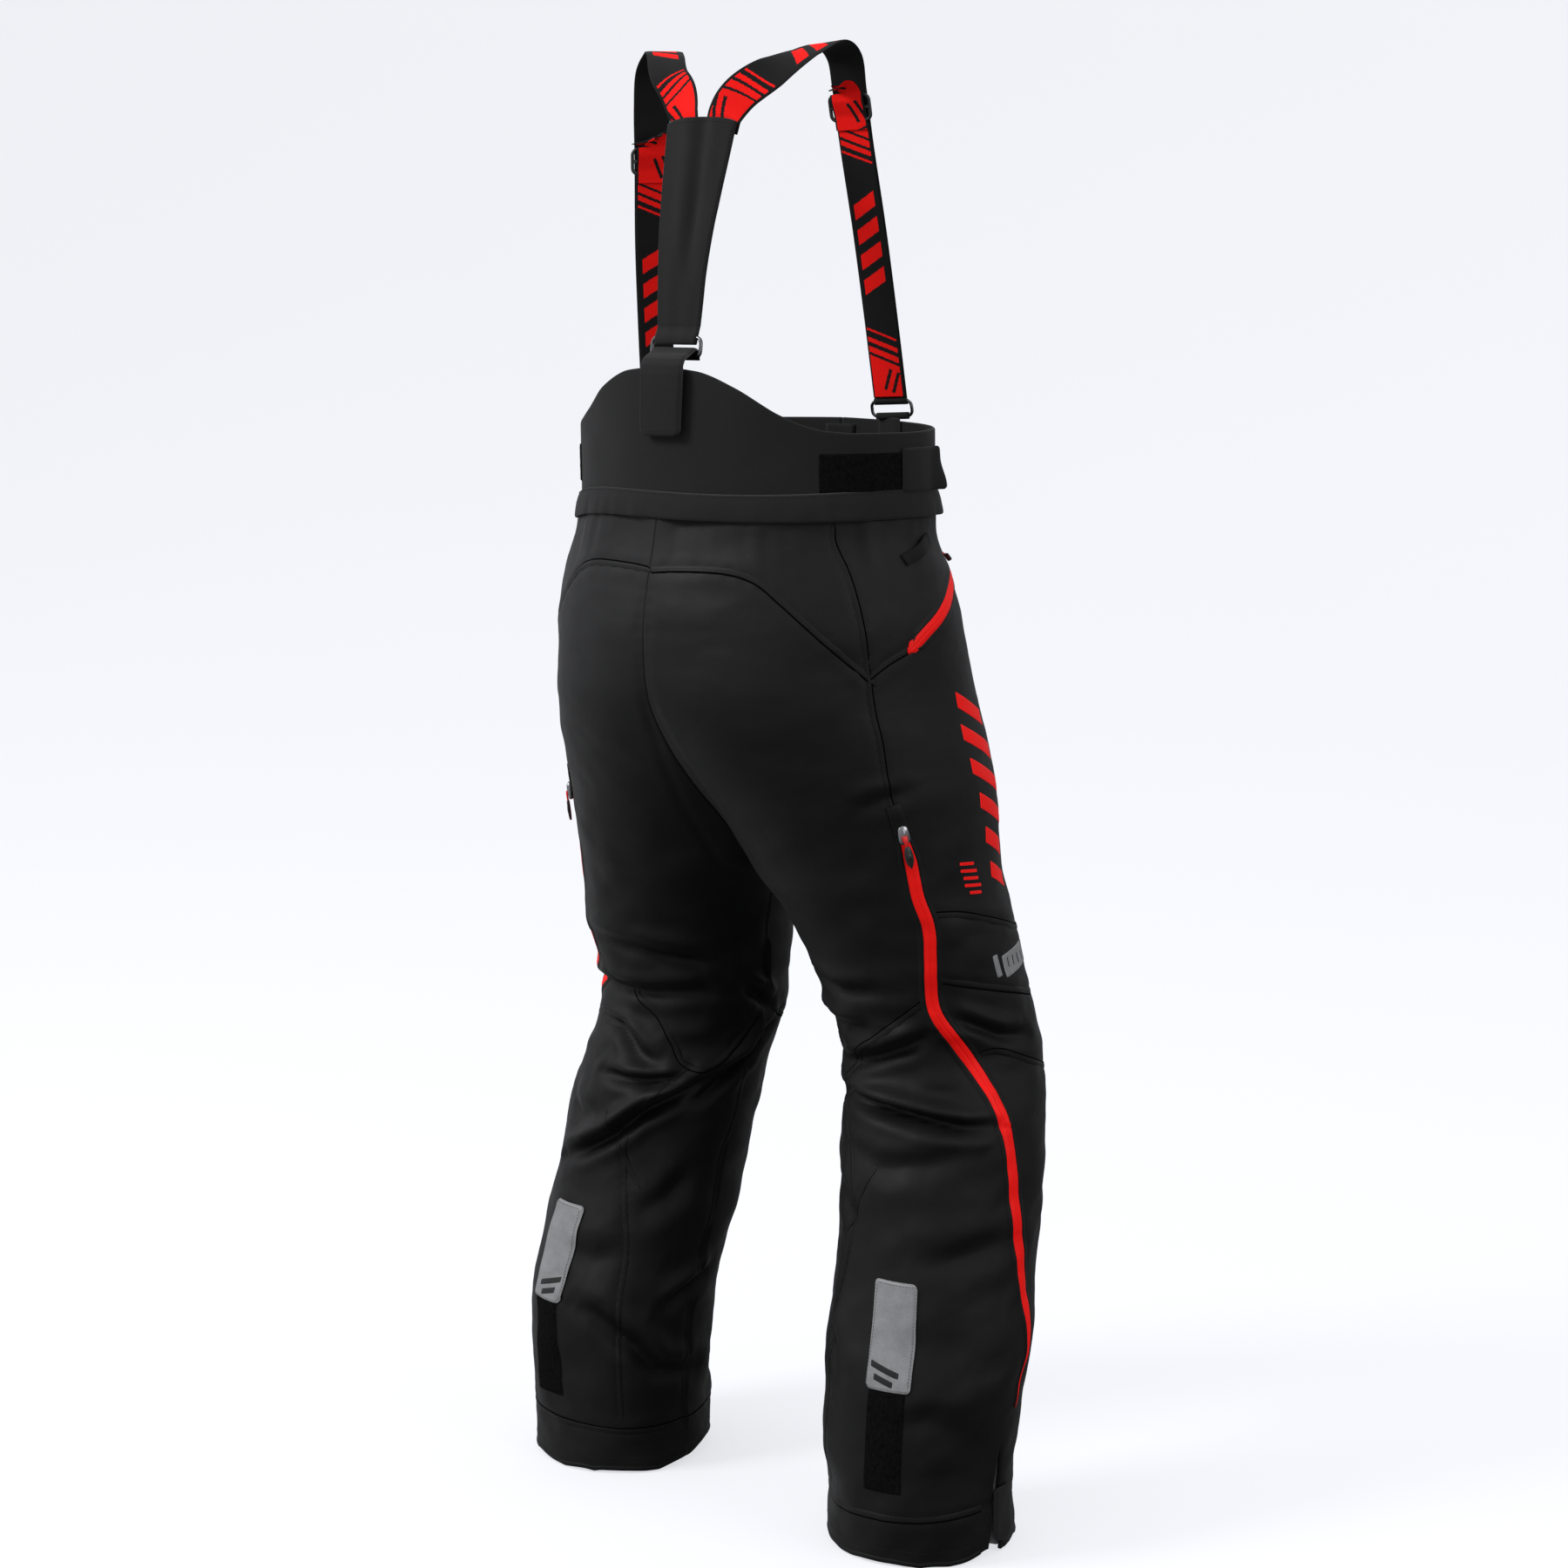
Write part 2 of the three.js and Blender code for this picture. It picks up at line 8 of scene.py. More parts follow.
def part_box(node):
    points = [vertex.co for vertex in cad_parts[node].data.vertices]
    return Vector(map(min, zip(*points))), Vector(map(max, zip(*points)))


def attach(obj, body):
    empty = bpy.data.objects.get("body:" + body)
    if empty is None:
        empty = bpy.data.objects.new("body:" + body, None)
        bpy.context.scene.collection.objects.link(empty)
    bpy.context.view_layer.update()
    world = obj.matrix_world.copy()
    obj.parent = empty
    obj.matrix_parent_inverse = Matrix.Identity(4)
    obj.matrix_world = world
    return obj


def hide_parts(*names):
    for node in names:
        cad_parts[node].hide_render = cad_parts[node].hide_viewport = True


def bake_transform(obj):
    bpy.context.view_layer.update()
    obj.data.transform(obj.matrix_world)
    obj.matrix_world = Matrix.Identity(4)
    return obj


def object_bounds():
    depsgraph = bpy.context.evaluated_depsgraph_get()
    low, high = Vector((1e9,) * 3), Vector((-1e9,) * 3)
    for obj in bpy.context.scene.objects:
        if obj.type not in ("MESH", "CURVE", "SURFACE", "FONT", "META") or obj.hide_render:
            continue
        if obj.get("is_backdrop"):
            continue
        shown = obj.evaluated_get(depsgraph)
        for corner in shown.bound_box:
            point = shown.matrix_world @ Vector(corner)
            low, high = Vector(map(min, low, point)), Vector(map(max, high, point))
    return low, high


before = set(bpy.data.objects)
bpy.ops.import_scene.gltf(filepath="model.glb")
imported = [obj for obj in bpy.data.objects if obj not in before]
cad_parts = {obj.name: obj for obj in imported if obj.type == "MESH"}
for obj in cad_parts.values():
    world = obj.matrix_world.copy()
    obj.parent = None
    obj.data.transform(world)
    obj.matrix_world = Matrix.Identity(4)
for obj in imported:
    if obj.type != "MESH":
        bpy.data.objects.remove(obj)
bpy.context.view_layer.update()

# the CAD source's own origin sits this far (mm) behind the row origin
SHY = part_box("waist_snap")[0].y * 1000 + 150.5
MM = 0.001
ROOT = "trousers"
rng = np.random.default_rng(20)

# ------------------------------------------------------------------ the body's surface (mm)
T = np.array([
    [0, 217, -10, 100, 103, 100], [50, 217, -10, 102, 104, 102], [100, 217, -8, 102, 104, 102],
    [150, 218, -11, 105, 107, 105], [200, 219, -18, 108, 111, 109], [250, 216, -32, 108, 111, 109],
    [300, 211, -47, 107, 110, 108], [350, 206, -58, 106, 109, 108], [400, 200, -68, 108, 111, 110],
    [450, 193, -79, 109, 112, 111], [500, 183, -92, 106, 110, 108], [530, 176, -96, 105, 110, 107],
    [560, 171, -91, 108, 113, 111], [600, 163, -79, 112, 118, 116], [640, 156, -67, 116, 124, 121],
    [680, 144, -56, 122, 132, 126], [710, 130, -47, 130, 140, 131], [745, 119, -42, 140, 148, 138],
    [780, 107, -38, 150, 157, 150], [820, 87, -31, 168, 165, 166], [865, 62, -23, 187, 172, 184],
    [915, 36, -14, 204, 178, 198], [960, 17, -8, 220, 176, 197], [1000, 6, -3, 230, 170, 191],
    [1040, 1, 0, 226, 162, 181], [1085, 0, 2, 213, 153, 168], [1108, 0, 2, 211, 151.5, 164]], float)
TZ = T[:, 0]
SLOPES = [None] + [np.gradient(T[:, j], TZ) for j in range(1, 6)]


def herm(z, j):
    z = np.clip(np.asarray(z, float), TZ[0], TZ[-1])
    i = np.clip(np.searchsorted(TZ, z, "right") - 1, 0, len(TZ) - 2)
    h = TZ[i + 1] - TZ[i]
    t = (z - TZ[i]) / h
    v, s = T[:, j], SLOPES[j]
    return (2*t**3 - 3*t*t + 1)*v[i] + (t**3 - 2*t*t + t)*h*s[i] + (3*t*t - 2*t**3)*v[i+1] + (t**3 - t*t)*h*s[i+1]


np.seterr(over="ignore")   # the hash wraps on purpose


def hash01(ix, iy, seed):
    n = (ix.astype(np.int64) * 374761393 + iy.astype(np.int64) * 668265263 + seed * 1442695041) & 0xFFFFFFFF
    n = ((n ^ (n >> 13)) * 1274126177) & 0xFFFFFFFF
    n = ((n ^ (n >> 16)) * 2246822519) & 0xFFFFFFFF
    return ((n ^ (n >> 15)) & 0xFFFFFF) / float(0xFFFFFF)


def noise(x, y, seed):
    """Smooth value noise from -1 to 1 on a unit lattice."""
    ix, iy = np.floor(x), np.floor(y)
    fx, fy = x - ix, y - iy
    fx, fy = fx*fx*fx*(fx*(fx*6 - 15) + 10), fy*fy*fy*(fy*(fy*6 - 15) + 10)
    a, b = hash01(ix, iy, seed), hash01(ix + 1, iy, seed)
    c, d = hash01(ix, iy + 1, seed), hash01(ix + 1, iy + 1, seed)
    return 2*((a*(1 - fx) + b*fx)*(1 - fy) + (c*(1 - fx) + d*fx)*fy) - 1


def smooth(x, a, b):
    t = np.clip((x - a) / (b - a), 0, 1)
    return t * t * (3 - 2 * t)


# folds: points (height, degrees round), depth, half width
FOLDS = {
    -1: [
        ([(486, 222), (480, 206), (477, 180), (471, 155), (462, 132), (462, 112)], 8.0, 8),
        ([(512, 214), (522, 194), (531, 179), (543, 162), (560, 146)], 5.5, 7),
        ([(580, 130), (567, 118), (552, 101), (548, 84)], 4.5, 8),
        ([(321, 160), (330, 133), (342, 104)], 3.2, 15),
        ([(806, 138), (819, 127), (827, 118)], 2.6, 7),
        ([(612, 216), (600, 190), (606, 162)], 4.0, 9),
        ([(566, 232), (556, 208), (562, 178)], 5.0, 8),
        ([(430, 205), (420, 180), (424, 152), (436, 130)], 3.6, 12),
        ([(392, 236), (376, 214), (352, 200)], 3.2, 12),
        ([(250, 230), (222, 212), (190, 205)], 3.4, 14),
        ([(150, 120), (168, 140), (160, 160)], 2.6, 14),
        ([(536, 262), (524, 245), (508, 232)], 5.5, 8),
        ([(648, 30), (636, 0), (646, -34)], 3.0, 12),
        ([(520, 40), (508, 4), (522, -38)], 3.6, 12),
        ([(700, -50), (686, -20), (700, 12)], 3.0, 14),
        ([(300, -40), (276, -10), (290, 30)], 2.6, 16),
        ([(120, -60), (96, -20), (104, 20)], 2.2, 16),
    ],
    1: [
        ([(352, 152), (366, 171), (387, 190), (414, 205), (435, 224), (455, 240), (470, 256)], 8.5, 9),
        ([(456, 172), (453, 189), (453, 207), (458, 228)], 5.6, 7),
        ([(512, 136), (510, 149), (507, 175), (483, 194), (470, 208)], 6.0, 8),
        ([(424, 226), (432, 238), (450, 250), (471, 264), (495, 275), (512, 290)], 7.0, 9),
        ([(196, 190), (189, 204), (150, 230), (120, 246), (111, 276)], 5.5, 12),
        ([(190, 246), (204, 258), (225, 281)], 4.5, 10),
        ([(614, 146), (612, 163), (606, 192), (597, 218), (592, 240)], 5.0, 11),
        ([(556, 124), (552, 140), (555, 200), (556, 228)], 5.5, 9),
        ([(560, 250), (548, 262), (530, 274)], 5.0, 8),
        ([(410, 140), (400, 158), (404, 176)], 3.6, 12),
        ([(300, 214), (318, 232), (344, 246)], 3.4, 14),
        ([(262, 176), (250, 196), (256, 214)], 2.6, 14),
        ([(650, 30), (640, 0), (648, -34)], 3.0, 12),
        ([(526, 44), (512, 4), (520, -38)], 3.6, 12),
        ([(704, -54), (690, -20), (704, 10)], 3.0, 14),
        ([(310, -36), (288, -6), (300, 34)], 2.6, 16),
        ([(112, -50), (98, -20), (108, 24)], 2.2, 16),
    ],
}
# seams shared by both sides: name, points (height, degrees), whether it is over-stitched
YOKE_SEAM = [(936, 116), (945, 118), (984, 130), (1023, 141), (1044, 148), (1053, 157), (1053, 171), (1050, 181)]
SIDE_SEAM = [(1104, 124), (1083, 124), (1050, 121), (999, 119), (936, 118), (882, 120), (834, 124), (798, 126)]
CB_SEAM = [(1051, 180.2), (1020, 180.2), (990, 180.6), (975, 183), (936, 187), (909, 190), (882, 193), (843, 199), (801, 207), (759, 218), (714, 232), (696, 250), (690, 268)]
POCKET_SEAM = [(945, 118), (960, 111), (972, 103)]
KNEE_TOP = [(692, 124), (690, 108), (681, 93), (668, 74), (657, 56), (652, 30), (652, 0), (656, -30)]
KNEE_LOW = [(621, 132), (609, 106), (596, 80), (585, 58), (580, 30), (580, 0), (584, -30)]
SHIN_SEAM = [(531, 122), (536, 112), (534, 103), (524, 90), (513, 74), (500, 50), (492, 20), (490, 0), (494, -30), (506, -56), (524, -84)]
BACK_KNEE = [(602, 137), (590, 147), (576, 158), (551, 178), (525, 199), (498, 212), (475, 222), (467, 234), (476, 244), (504, 257), (537, 269)]
DART = [(417, 184), (398, 190), (375, 197), (352, 205), (330, 215)]
INNER_BACK = [(470, 226), (430, 208), (375, 200), (310, 208), (249, 217), (150, 220), (60, 222)]
CUFF_SEAM = [(53 + 4 * math.sin(math.radians(a * 1.0)), a) for a in range(-90, 271, 6)]
INSEAM = [(690, 269.5), (640, 269.5), (560, 268), (480, 267), (380, 267), (280, 267), (180, 267), (60, 267)]


WAY = None


def poly_distance(z, s, pts, r=2.0):
    """Distance (mm) from points (z, s mm round) to a polyline of (z, degrees), and how far along it 0..1."""
    q = np.array([(p[0], p[1] * r) for p in pts], float)
    global WAY
    seg = q[1:] - q[:-1]
    ln = np.hypot(seg[:, 0], seg[:, 1])
    cum = np.concatenate([[0], np.cumsum(ln)])
    best = np.full(z.shape, 1e9)
    along = np.zeros(z.shape)
    WAY = np.ones(z.shape)
    for k in range(len(seg)):
        t = np.clip(((z - q[k, 0]) * seg[k, 0] + (s - q[k, 1]) * seg[k, 1]) / max(ln[k] ** 2, 1e-9), 0, 1)
        d = np.hypot(z - q[k, 0] - t * seg[k, 0], s - q[k, 1] - t * seg[k, 1])
        m = d < best
        best = np.where(m, d, best)
        WAY = np.where(m, np.sign((z - q[k, 0]) * abs(seg[k, 1]) - (s - q[k, 1]) * seg[k, 0] * np.sign(seg[k, 1] + 1e-9)), WAY)
        along = np.where(m, (cum[k] + t * ln[k]) / cum[-1], along)
    return best, along


def disp(side, z, psi):
    """How far (mm) the cloth stands out of its smooth shape."""
    z, psi = np.broadcast_arrays(np.asarray(z, float), np.asarray(psi, float))
    out = np.zeros(z.shape)
    s = psi * 2.0
    for pts, depth, w in FOLDS[side]:
        if depth > 3.9:
            depth, w = depth * 1.75, w * 0.95
        else:
            depth = depth * 1.35
        zs = [p[0] for p in pts]
        near = (z > min(zs) - 6 * w) & (z < max(zs) + 6 * w)
        if not near.any():
            continue
        zz = z[near]
        add = np.zeros(zz.shape)
        for turn in (0, 720, -720):
            d, t = poly_distance(zz, s[near] + turn, pts)
            env = np.sin(np.pi * np.clip(t, 0.02, 0.98)) ** 0.6
            e = np.exp(-(d / w) ** 2)
            upper = np.exp(-((d - 1.7 * w) / (1.25 * w)) ** 2) * (WAY > 0)
            lower = np.exp(-((d - 2.1 * w) / (1.1 * w)) ** 2) * (WAY <= 0)
            keep = d < 5 * w
            add = np.where(keep, add + depth * env * (-1.15 * e + 0.95 * upper + 0.30 * lower), add)
        out[near] += add
    leg = 1 - smooth(z, 700, 900)
    sd = 11 if side > 0 else 47
    # broad soft billows, stretched round the leg, and smaller crumple behind the knees
    out += (1.9 + 1.4 * leg) * noise(s / 74, z / 58, sd) * (0.55 + 0.45 * leg)
    out += (0.75 + 0.5 * leg) * noise(s / 31 + 0.35 * z / 31, z / 24, sd + 1)
    knee = np.exp(-((z - 520) / 95) ** 2) * (0.35 + 0.65 * smooth(np.cos(np.radians(psi - 185)), -0.2, 0.7))
    out += knee * 2.6 * noise(s / 52 + z / 210, z / 17, sd + 2)
    out += 0.16 * noise(s / 9, z / 8, sd + 3)
    # gathers under the band
    g = smooth(z, 1020, 1100)
    back = 0.45 + 0.55 * smooth(np.cos(np.radians(psi - 180)), -0.1, 0.8)
    out += g * back * (2.6 * noise(s / 17, z / 120, sd + 4) + 1.0 * noise(s / 8, z / 90, sd + 5)) - 1.8 * g
    # soft pull lines falling from the band over the seat
    out += smooth(z, 900, 1060) * (1 - g) * 1.3 * noise(s / 30 + (1080 - z) / 260, z / 150, sd + 7)
    # the hem's mouth is a little out of round
    out += 2.4 * noise(s / 90, z / 300, sd + 6) * (1 - smooth(z, 0, 160))
    # nothing moves where the two halves meet
    x = herm(z, 1) + herm(z, 3) * np.sin(np.radians(psi))
    up = smooth(z, 700, 720)
    out *= 1 - up * (1 - smooth(x, 0, 26))
    return out


def hem_wave(side, psi):
    """How far (mm) the hem's edge rises above the ground round the leg."""
    a = np.asarray(psi, float)
    n_ = 2.6 * np.abs(noise(a / 33.0, a * 0 + 2.0, 81 if side > 0 else 82)) + 1.6 * np.abs(noise(a / 15.0, a * 0 + 5.0, 83 if side > 0 else 84))
    if side > 0:
        n_ = n_ + 13 * np.exp(-(((a + 60 + 180) % 360 - 180) / 34) ** 2) + 4 * np.exp(-((a - 150) / 16) ** 2)
    else:
        n_ = n_ + 6 * np.exp(-((a - 222) / 16) ** 2) + 5 * np.exp(-((a - 96) / 12) ** 2)
    return n_


def S(side, z, psi, off=0.0, cloth=True):
    """Point (mm) on the trouser half. psi: 0 front, 90 outer side, 180 back, 270 inner leg."""
    z, psi, off = np.broadcast_arrays(np.asarray(z, float), np.asarray(psi, float), np.asarray(off, float))
    o = off + (disp(side, z, psi) if cloth else 0)
    s, c = np.sin(np.radians(psi)), np.cos(np.radians(psi))
    ry = np.where(c > 0, herm(z, 4), herm(z, 5))
    zz = z + hem_wave(side, psi) * np.clip(1 - z / 75, 0, 1) ** 1.3 if cloth else z + 0 * s
    return np.stack([side * (herm(z, 1) + (herm(z, 3) + o) * s), herm(z, 2) - (ry + o) * c, zz], -1)


RA, RF, RB, RCY = 209.0, 149.0, 161.0, 2.0


def cdisp(z, deg):
    s = np.asarray(deg, float) * 3.2
    return 1.1 * noise(s / 80, z / 70, 71) + 0.5 * noise(s / 33, z / 30, 72)


def C(z, deg, off=0.0):
    """Point (mm) on the collar, deg round from the front towards the wearer's left."""
    z, deg, off = np.broadcast_arrays(np.asarray(z, float), np.asarray(deg, float), np.asarray(off, float))
    s, c = np.sin(np.radians(deg)), np.cos(np.radians(deg))
    o = off + cdisp(z, deg) * smooth(z, 1105, 1150)
    return np.stack([(RA + o) * s, RCY - (np.where(c > 0, RF, RB) + o) * c, z + 0 * s], -1)


RIM = np.array([[0, 1258], [7, 1257], [14, 1254], [19, 1248], [27, 1235], [37, 1214], [44, 1203], [52, 1195.5], [61, 1192.5], [90, 1192], [130, 1194], [180, 1197]], float)


def rim(deg):
    """Height of the collar's edge, deg from back centre."""
    a = np.abs((np.asarray(deg, float) + 180) % 360 - 180)
    xs = np.linspace(0, 180, 361)
    ys = np.interp(xs, RIM[:, 0], RIM[:, 1])
    k = np.exp(-np.linspace(-2, 2, 17) ** 2)
    ys = np.convolve(np.pad(ys, 8, "edge"), k / k.sum(), "valid")
    return np.interp(a, xs, ys)


# ------------------------------------------------------------------ mesh helpers
MATS = {}


def put(name, verts, faces, mat, body=ROOT, replaces=(), slot=None, blend=None, uv=None, mats=None, fmat=None, smooth_faces=True, mods=()):
    verts = np.asarray(verts, float).reshape(-1, 3).copy()
    verts[:, 1] += SHY
    me = bpy.data.meshes.new(name)
    me.from_pydata((verts * MM).tolist(), [], faces if isinstance(faces, list) else faces.tolist())
    me.update()
    if uv is not None:
        layer = me.uv_layers.new(name="mm")
        loops = np.zeros(len(me.loops), np.int32)
        me.loops.foreach_get("vertex_index", loops)
        layer.data.foreach_set("uv", np.asarray(uv, np.float32)[loops].ravel())
    for m in mats or [mat]:
        me.materials.append(m)
    if fmat is not None:
        me.polygons.foreach_set("material_index", np.asarray(fmat, np.int32))
    me.polygons.foreach_set("use_smooth", np.full(len(me.polygons), smooth_faces))
    ob = bpy.data.objects.new(name, me)
    bpy.context.scene.collection.objects.link(ob)
    for kind, settings in mods:
        mod = ob.modifiers.new(kind.title(), kind)
        for k, v in settings.items():
            setattr(mod, k, v)
    if blend:
        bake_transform(ob)
    else:
        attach(ob, body)
    if replaces:
        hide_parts(*replaces)
    return ob


def grid_faces(nv, nu, ring_u=False, ring_v=False, flip=False):
    """Quads of a (nv, nu) lattice of vertices, row by row."""
    j, i = np.meshgrid(np.arange(nv if ring_v else nv - 1), np.arange(nu if ring_u else nu - 1), indexing="ij")
    a = j * nu + i
    b = j * nu + (i + 1) % nu
    c = ((j + 1) % nv) * nu + (i + 1) % nu
    d = ((j + 1) % nv) * nu + i
    q = np.stack([a, b, c, d], -1).reshape(-1, 4)
    return q[:, ::-1] if flip else q


def outward(verts, faces):
    """Faces of a closed mesh turned so that they look out."""
    v = np.asarray(verts, float).reshape(-1, 3)
    vol = 0.0
    for f in (faces if isinstance(faces, list) else [faces]):
        f = np.asarray(f)
        for k in range(1, f.shape[1] - 1):
            vol += np.einsum("ij,ij->i", v[f[:, 0]], np.cross(v[f[:, k]], v[f[:, k + 1]])).sum()
    return vol >= 0


def closed_sheet(fn, nu, nv, ring=False):
    """fn(u, v, k) -> points; k 0 is the outside, 1 the inside. Returns verts, faces, uv parameters."""
    cols = nu if ring else nu + 1
    u, v = np.meshgrid(np.arange(cols) / nu, np.arange(nv + 1) / nv)
    outer, inner = fn(u, v, 0).reshape(-1, 3), fn(u, v, 1).reshape(-1, 3)
    n = cols * (nv + 1)
    f = [grid_faces(nv + 1, cols, ring), grid_faces(nv + 1, cols, ring, flip=True) + n]

    def wall(line):
        line = np.asarray(line)
        if ring and len(line) == cols:
            line = np.append(line, line[0])
        return np.stack([line[:-1], line[:-1] + n, line[1:] + n, line[1:]], -1)

    f.append(wall(np.arange(cols)))
    f.append(wall(np.arange(cols) + nv * cols)[:, ::-1])
    if not ring:
        left, right = np.arange(nv + 1) * cols, np.arange(nv + 1) * cols + cols - 1
        f.append(np.stack([left[:-1], left[1:], left[1:] + n, left[:-1] + n], -1))
        f.append(np.stack([right[:-1], right[:-1] + n, right[1:] + n, right[1:]], -1))
    f = np.concatenate(f)
    verts = np.concatenate([outer, inner])
    if not outward(verts, f):
        f = f[:, ::-1]
    par = np.stack([u.ravel(), v.ravel()], -1)
    return verts, f, np.concatenate([par, par])


def rounded(u, v, w, h, r):
    """u, v in 0..1 -> x, y (mm) in a rounded rectangle w by h, and the distance to its edge."""
    y = (v - 0.5) * h
    y = np.sign(y) * (h / 2) * np.sin(np.abs(y) / (h / 2) * math.pi / 2) ** 0.92 if r > 0 else y
    k = np.clip(np.abs(y) - (h / 2 - r), 0, r)
    half = w / 2 - r + np.sqrt(np.maximum(r * r - k * k, 0)) if r > 0 else np.full(y.shape, w / 2)
    x = (2 * u - 1) * half
    edge = np.minimum(half - np.abs(x), h / 2 - np.abs(y))
    return x, y, edge


def walk(f, pts, step=1.5, spline=True):
    """Even steps along a path on a surface f(a, b, off). Returns a, b arrays and the length."""
    p = np.array(pts, float)
    t = np.arange(len(p))
    tt = np.linspace(0, len(p) - 1, (len(p) - 1) * 24 + 1)
    if spline and len(p) > 2:
        g = np.gradient(p, axis=0)
        i = np.clip(tt.astype(int), 0, len(p) - 2)
        q = (tt - i)[:, None]
        a = (2*q**3 - 3*q*q + 1)*p[i] + (q**3 - 2*q*q + q)*g[i] + (3*q*q - 2*q**3)*p[i+1] + (q**3 - q*q)*g[i+1]
    else:
        a = np.stack([np.interp(tt, t, p[:, k]) for k in (0, 1)], -1)
    P = f(a[:, 0], a[:, 1], 0.0)
    cum = np.concatenate([[0], np.cumsum(np.linalg.norm(np.diff(P, axis=0), axis=1))])
    n = max(2, int(round(cum[-1] / step)) + 1)
    at = np.linspace(0, cum[-1], n)
    return np.interp(at, cum, a[:, 0]), np.interp(at, cum, a[:, 1]), cum[-1]


def frame_on(f, a, b):
    """Point, tangent along the path, side direction, normal and the parameter step for 1 mm sideways."""
    P = f(a, b, 0.0)
    fa = (f(a + 0.5, b, 0.0) - f(a - 0.5, b, 0.0))
    fb = (f(a, b + 0.25, 0.0) - f(a, b - 0.25, 0.0)) * 2
    N = np.cross(fa, fb)
    N /= np.maximum(np.linalg.norm(N, axis=-1, keepdims=True), 1e-9)
    out = f(a, b, 5.0) - P
    N *= np.sign(np.einsum("ij,ij->i", N, out))[:, None]
    D = np.gradient(P, axis=0)
    D /= np.maximum(np.linalg.norm(D, axis=-1, keepdims=True), 1e-9)
    B = np.cross(N, D)
    B /= np.maximum(np.linalg.norm(B, axis=-1, keepdims=True), 1e-9)
    aa, ab, bb = (fa*fa).sum(-1), (fa*fb).sum(-1), (fb*fb).sum(-1)
    ra, rb = (fa*B).sum(-1), (fb*B).sum(-1)
    det = np.maximum(aa*bb - ab*ab, 1e-9)
    return P, D, B, N, (ra*bb - rb*ab)/det, (rb*aa - ra*ab)/det


def strip(f, pts, cross, step=2.5, taper=None, spline=True):
    """A moulding of cross section [(sideways, height)...] laid along a path on a surface."""
    a, b, ln = walk(f, pts, step, spline)
    P, D, B, N, da, db = frame_on(f, a, b)
    k = np.array(cross, float)
    n, m = len(a), len(k)
    w = np.ones(n) if taper is None else taper(np.linspace(0, 1, n))
    aa = a[:, None] + da[:, None] * k[None, :, 0] * w[:, None]
    bb = b[:, None] + db[:, None] * k[None, :, 0] * w[:, None]
    V = f(aa, bb, np.broadcast_to(k[None, :, 1], aa.shape))
    F = grid_faces(n, m, True)
    caps = [list(range(m))[::-1], [(n - 1) * m + i for i in range(m)]]
    verts = V.reshape(-1, 3)
    faces = F.tolist() + caps
    if not outward(verts, F):
        faces = [q[::-1] for q in faces]
    uv = np.stack([np.broadcast_to(k[None, :, 0], (n, m)), np.broadcast_to(np.linspace(0, ln, n)[:, None], (n, m))], -1).reshape(-1, 2)
    return verts, faces, uv


class Bag:
    """Collects several little meshes into one."""

    def __init__(self):
        self.v, self.f, self.uv, self.n, self.m = [], [], [], 0, []

    def add(self, verts, faces, uv=None, mat=0):
        verts = np.asarray(verts, float).reshape(-1, 3)
        self.v.append(verts)
        fs = faces if isinstance(faces, list) else faces.tolist()
        self.f += [[i + self.n for i in q] for q in fs]
        self.m += [mat] * len(fs)
        self.uv.append(np.zeros((len(verts), 2)) if uv is None else uv)
        self.n += len(verts)

    def put(self, name, mat, **kw):
        if not self.v:
            return None
        return put(name, np.concatenate(self.v), self.f, mat, uv=np.concatenate(self.uv), fmat=self.m if kw.get("mats") else None, **kw)


STITCH = np.array([[-1, 0, 0], [-0.55, 0.8, 0.15], [-0.55, -0.8, 0.15], [-0.5, 0, 0.9], [0.55, 0.8, 0.15], [0.55, -0.8, 0.15], [0.5, 0, 0.9], [1, 0, 0]])
STITCH_F = [[0, 3, 1], [0, 2, 3], [1, 3, 6, 4], [2, 5, 6, 3], [4, 6, 7], [5, 7, 6], [0, 1, 4, 7], [0, 7, 5, 2]]


def stitches(bag, f, pts, side=0.0, length=2.6, pitch=3.6, wide=0.42, high=0.4, lift=0.15, spline=True):
    a, b, ln = walk(f, pts, pitch, spline)
    if len(a) < 3:
        return
    P, D, B, N, da, db = frame_on(f, a, b)
    base = f(a + da * side, b + db * side, lift)
    for k in range(len(a) - 1):
        q = base[k] + (STITCH[:, 0:1] * length / 2) * D[k] + (STITCH[:, 1:2] * wide) * B[k] + (STITCH[:, 2:3] * high) * N[k]
        bag.add(q, STITCH_F)


# ------------------------------------------------------------------ materials
def material(name):
    m = bpy.data.materials.new(name)
    m.use_nodes = True
    nt = m.node_tree
    nt.nodes.clear()
    out = nt.nodes.new("ShaderNodeOutputMaterial")
    bs = nt.nodes.new("ShaderNodeBsdfPrincipled")
    nt.links.new(bs.outputs[0], out.inputs[0])
    MATS[name] = m
    return m, nt, bs


def node(nt, kind, ins=None, **props):
    n = nt.nodes.new(kind)
    for k, v in props.items():
        setattr(n, k, v)
    for k, v in (ins or {}).items():
        if isinstance(v, bpy.types.NodeSocket):
            nt.links.new(v, n.inputs[k])
        else:
            n.inputs[k].default_value = v
    return n


def math_n(nt, op, a, b=0.0, clamp=False):
    return node(nt, "ShaderNodeMath", {0: a, 1: b}, operation=op, use_clamp=clamp).outputs[0]


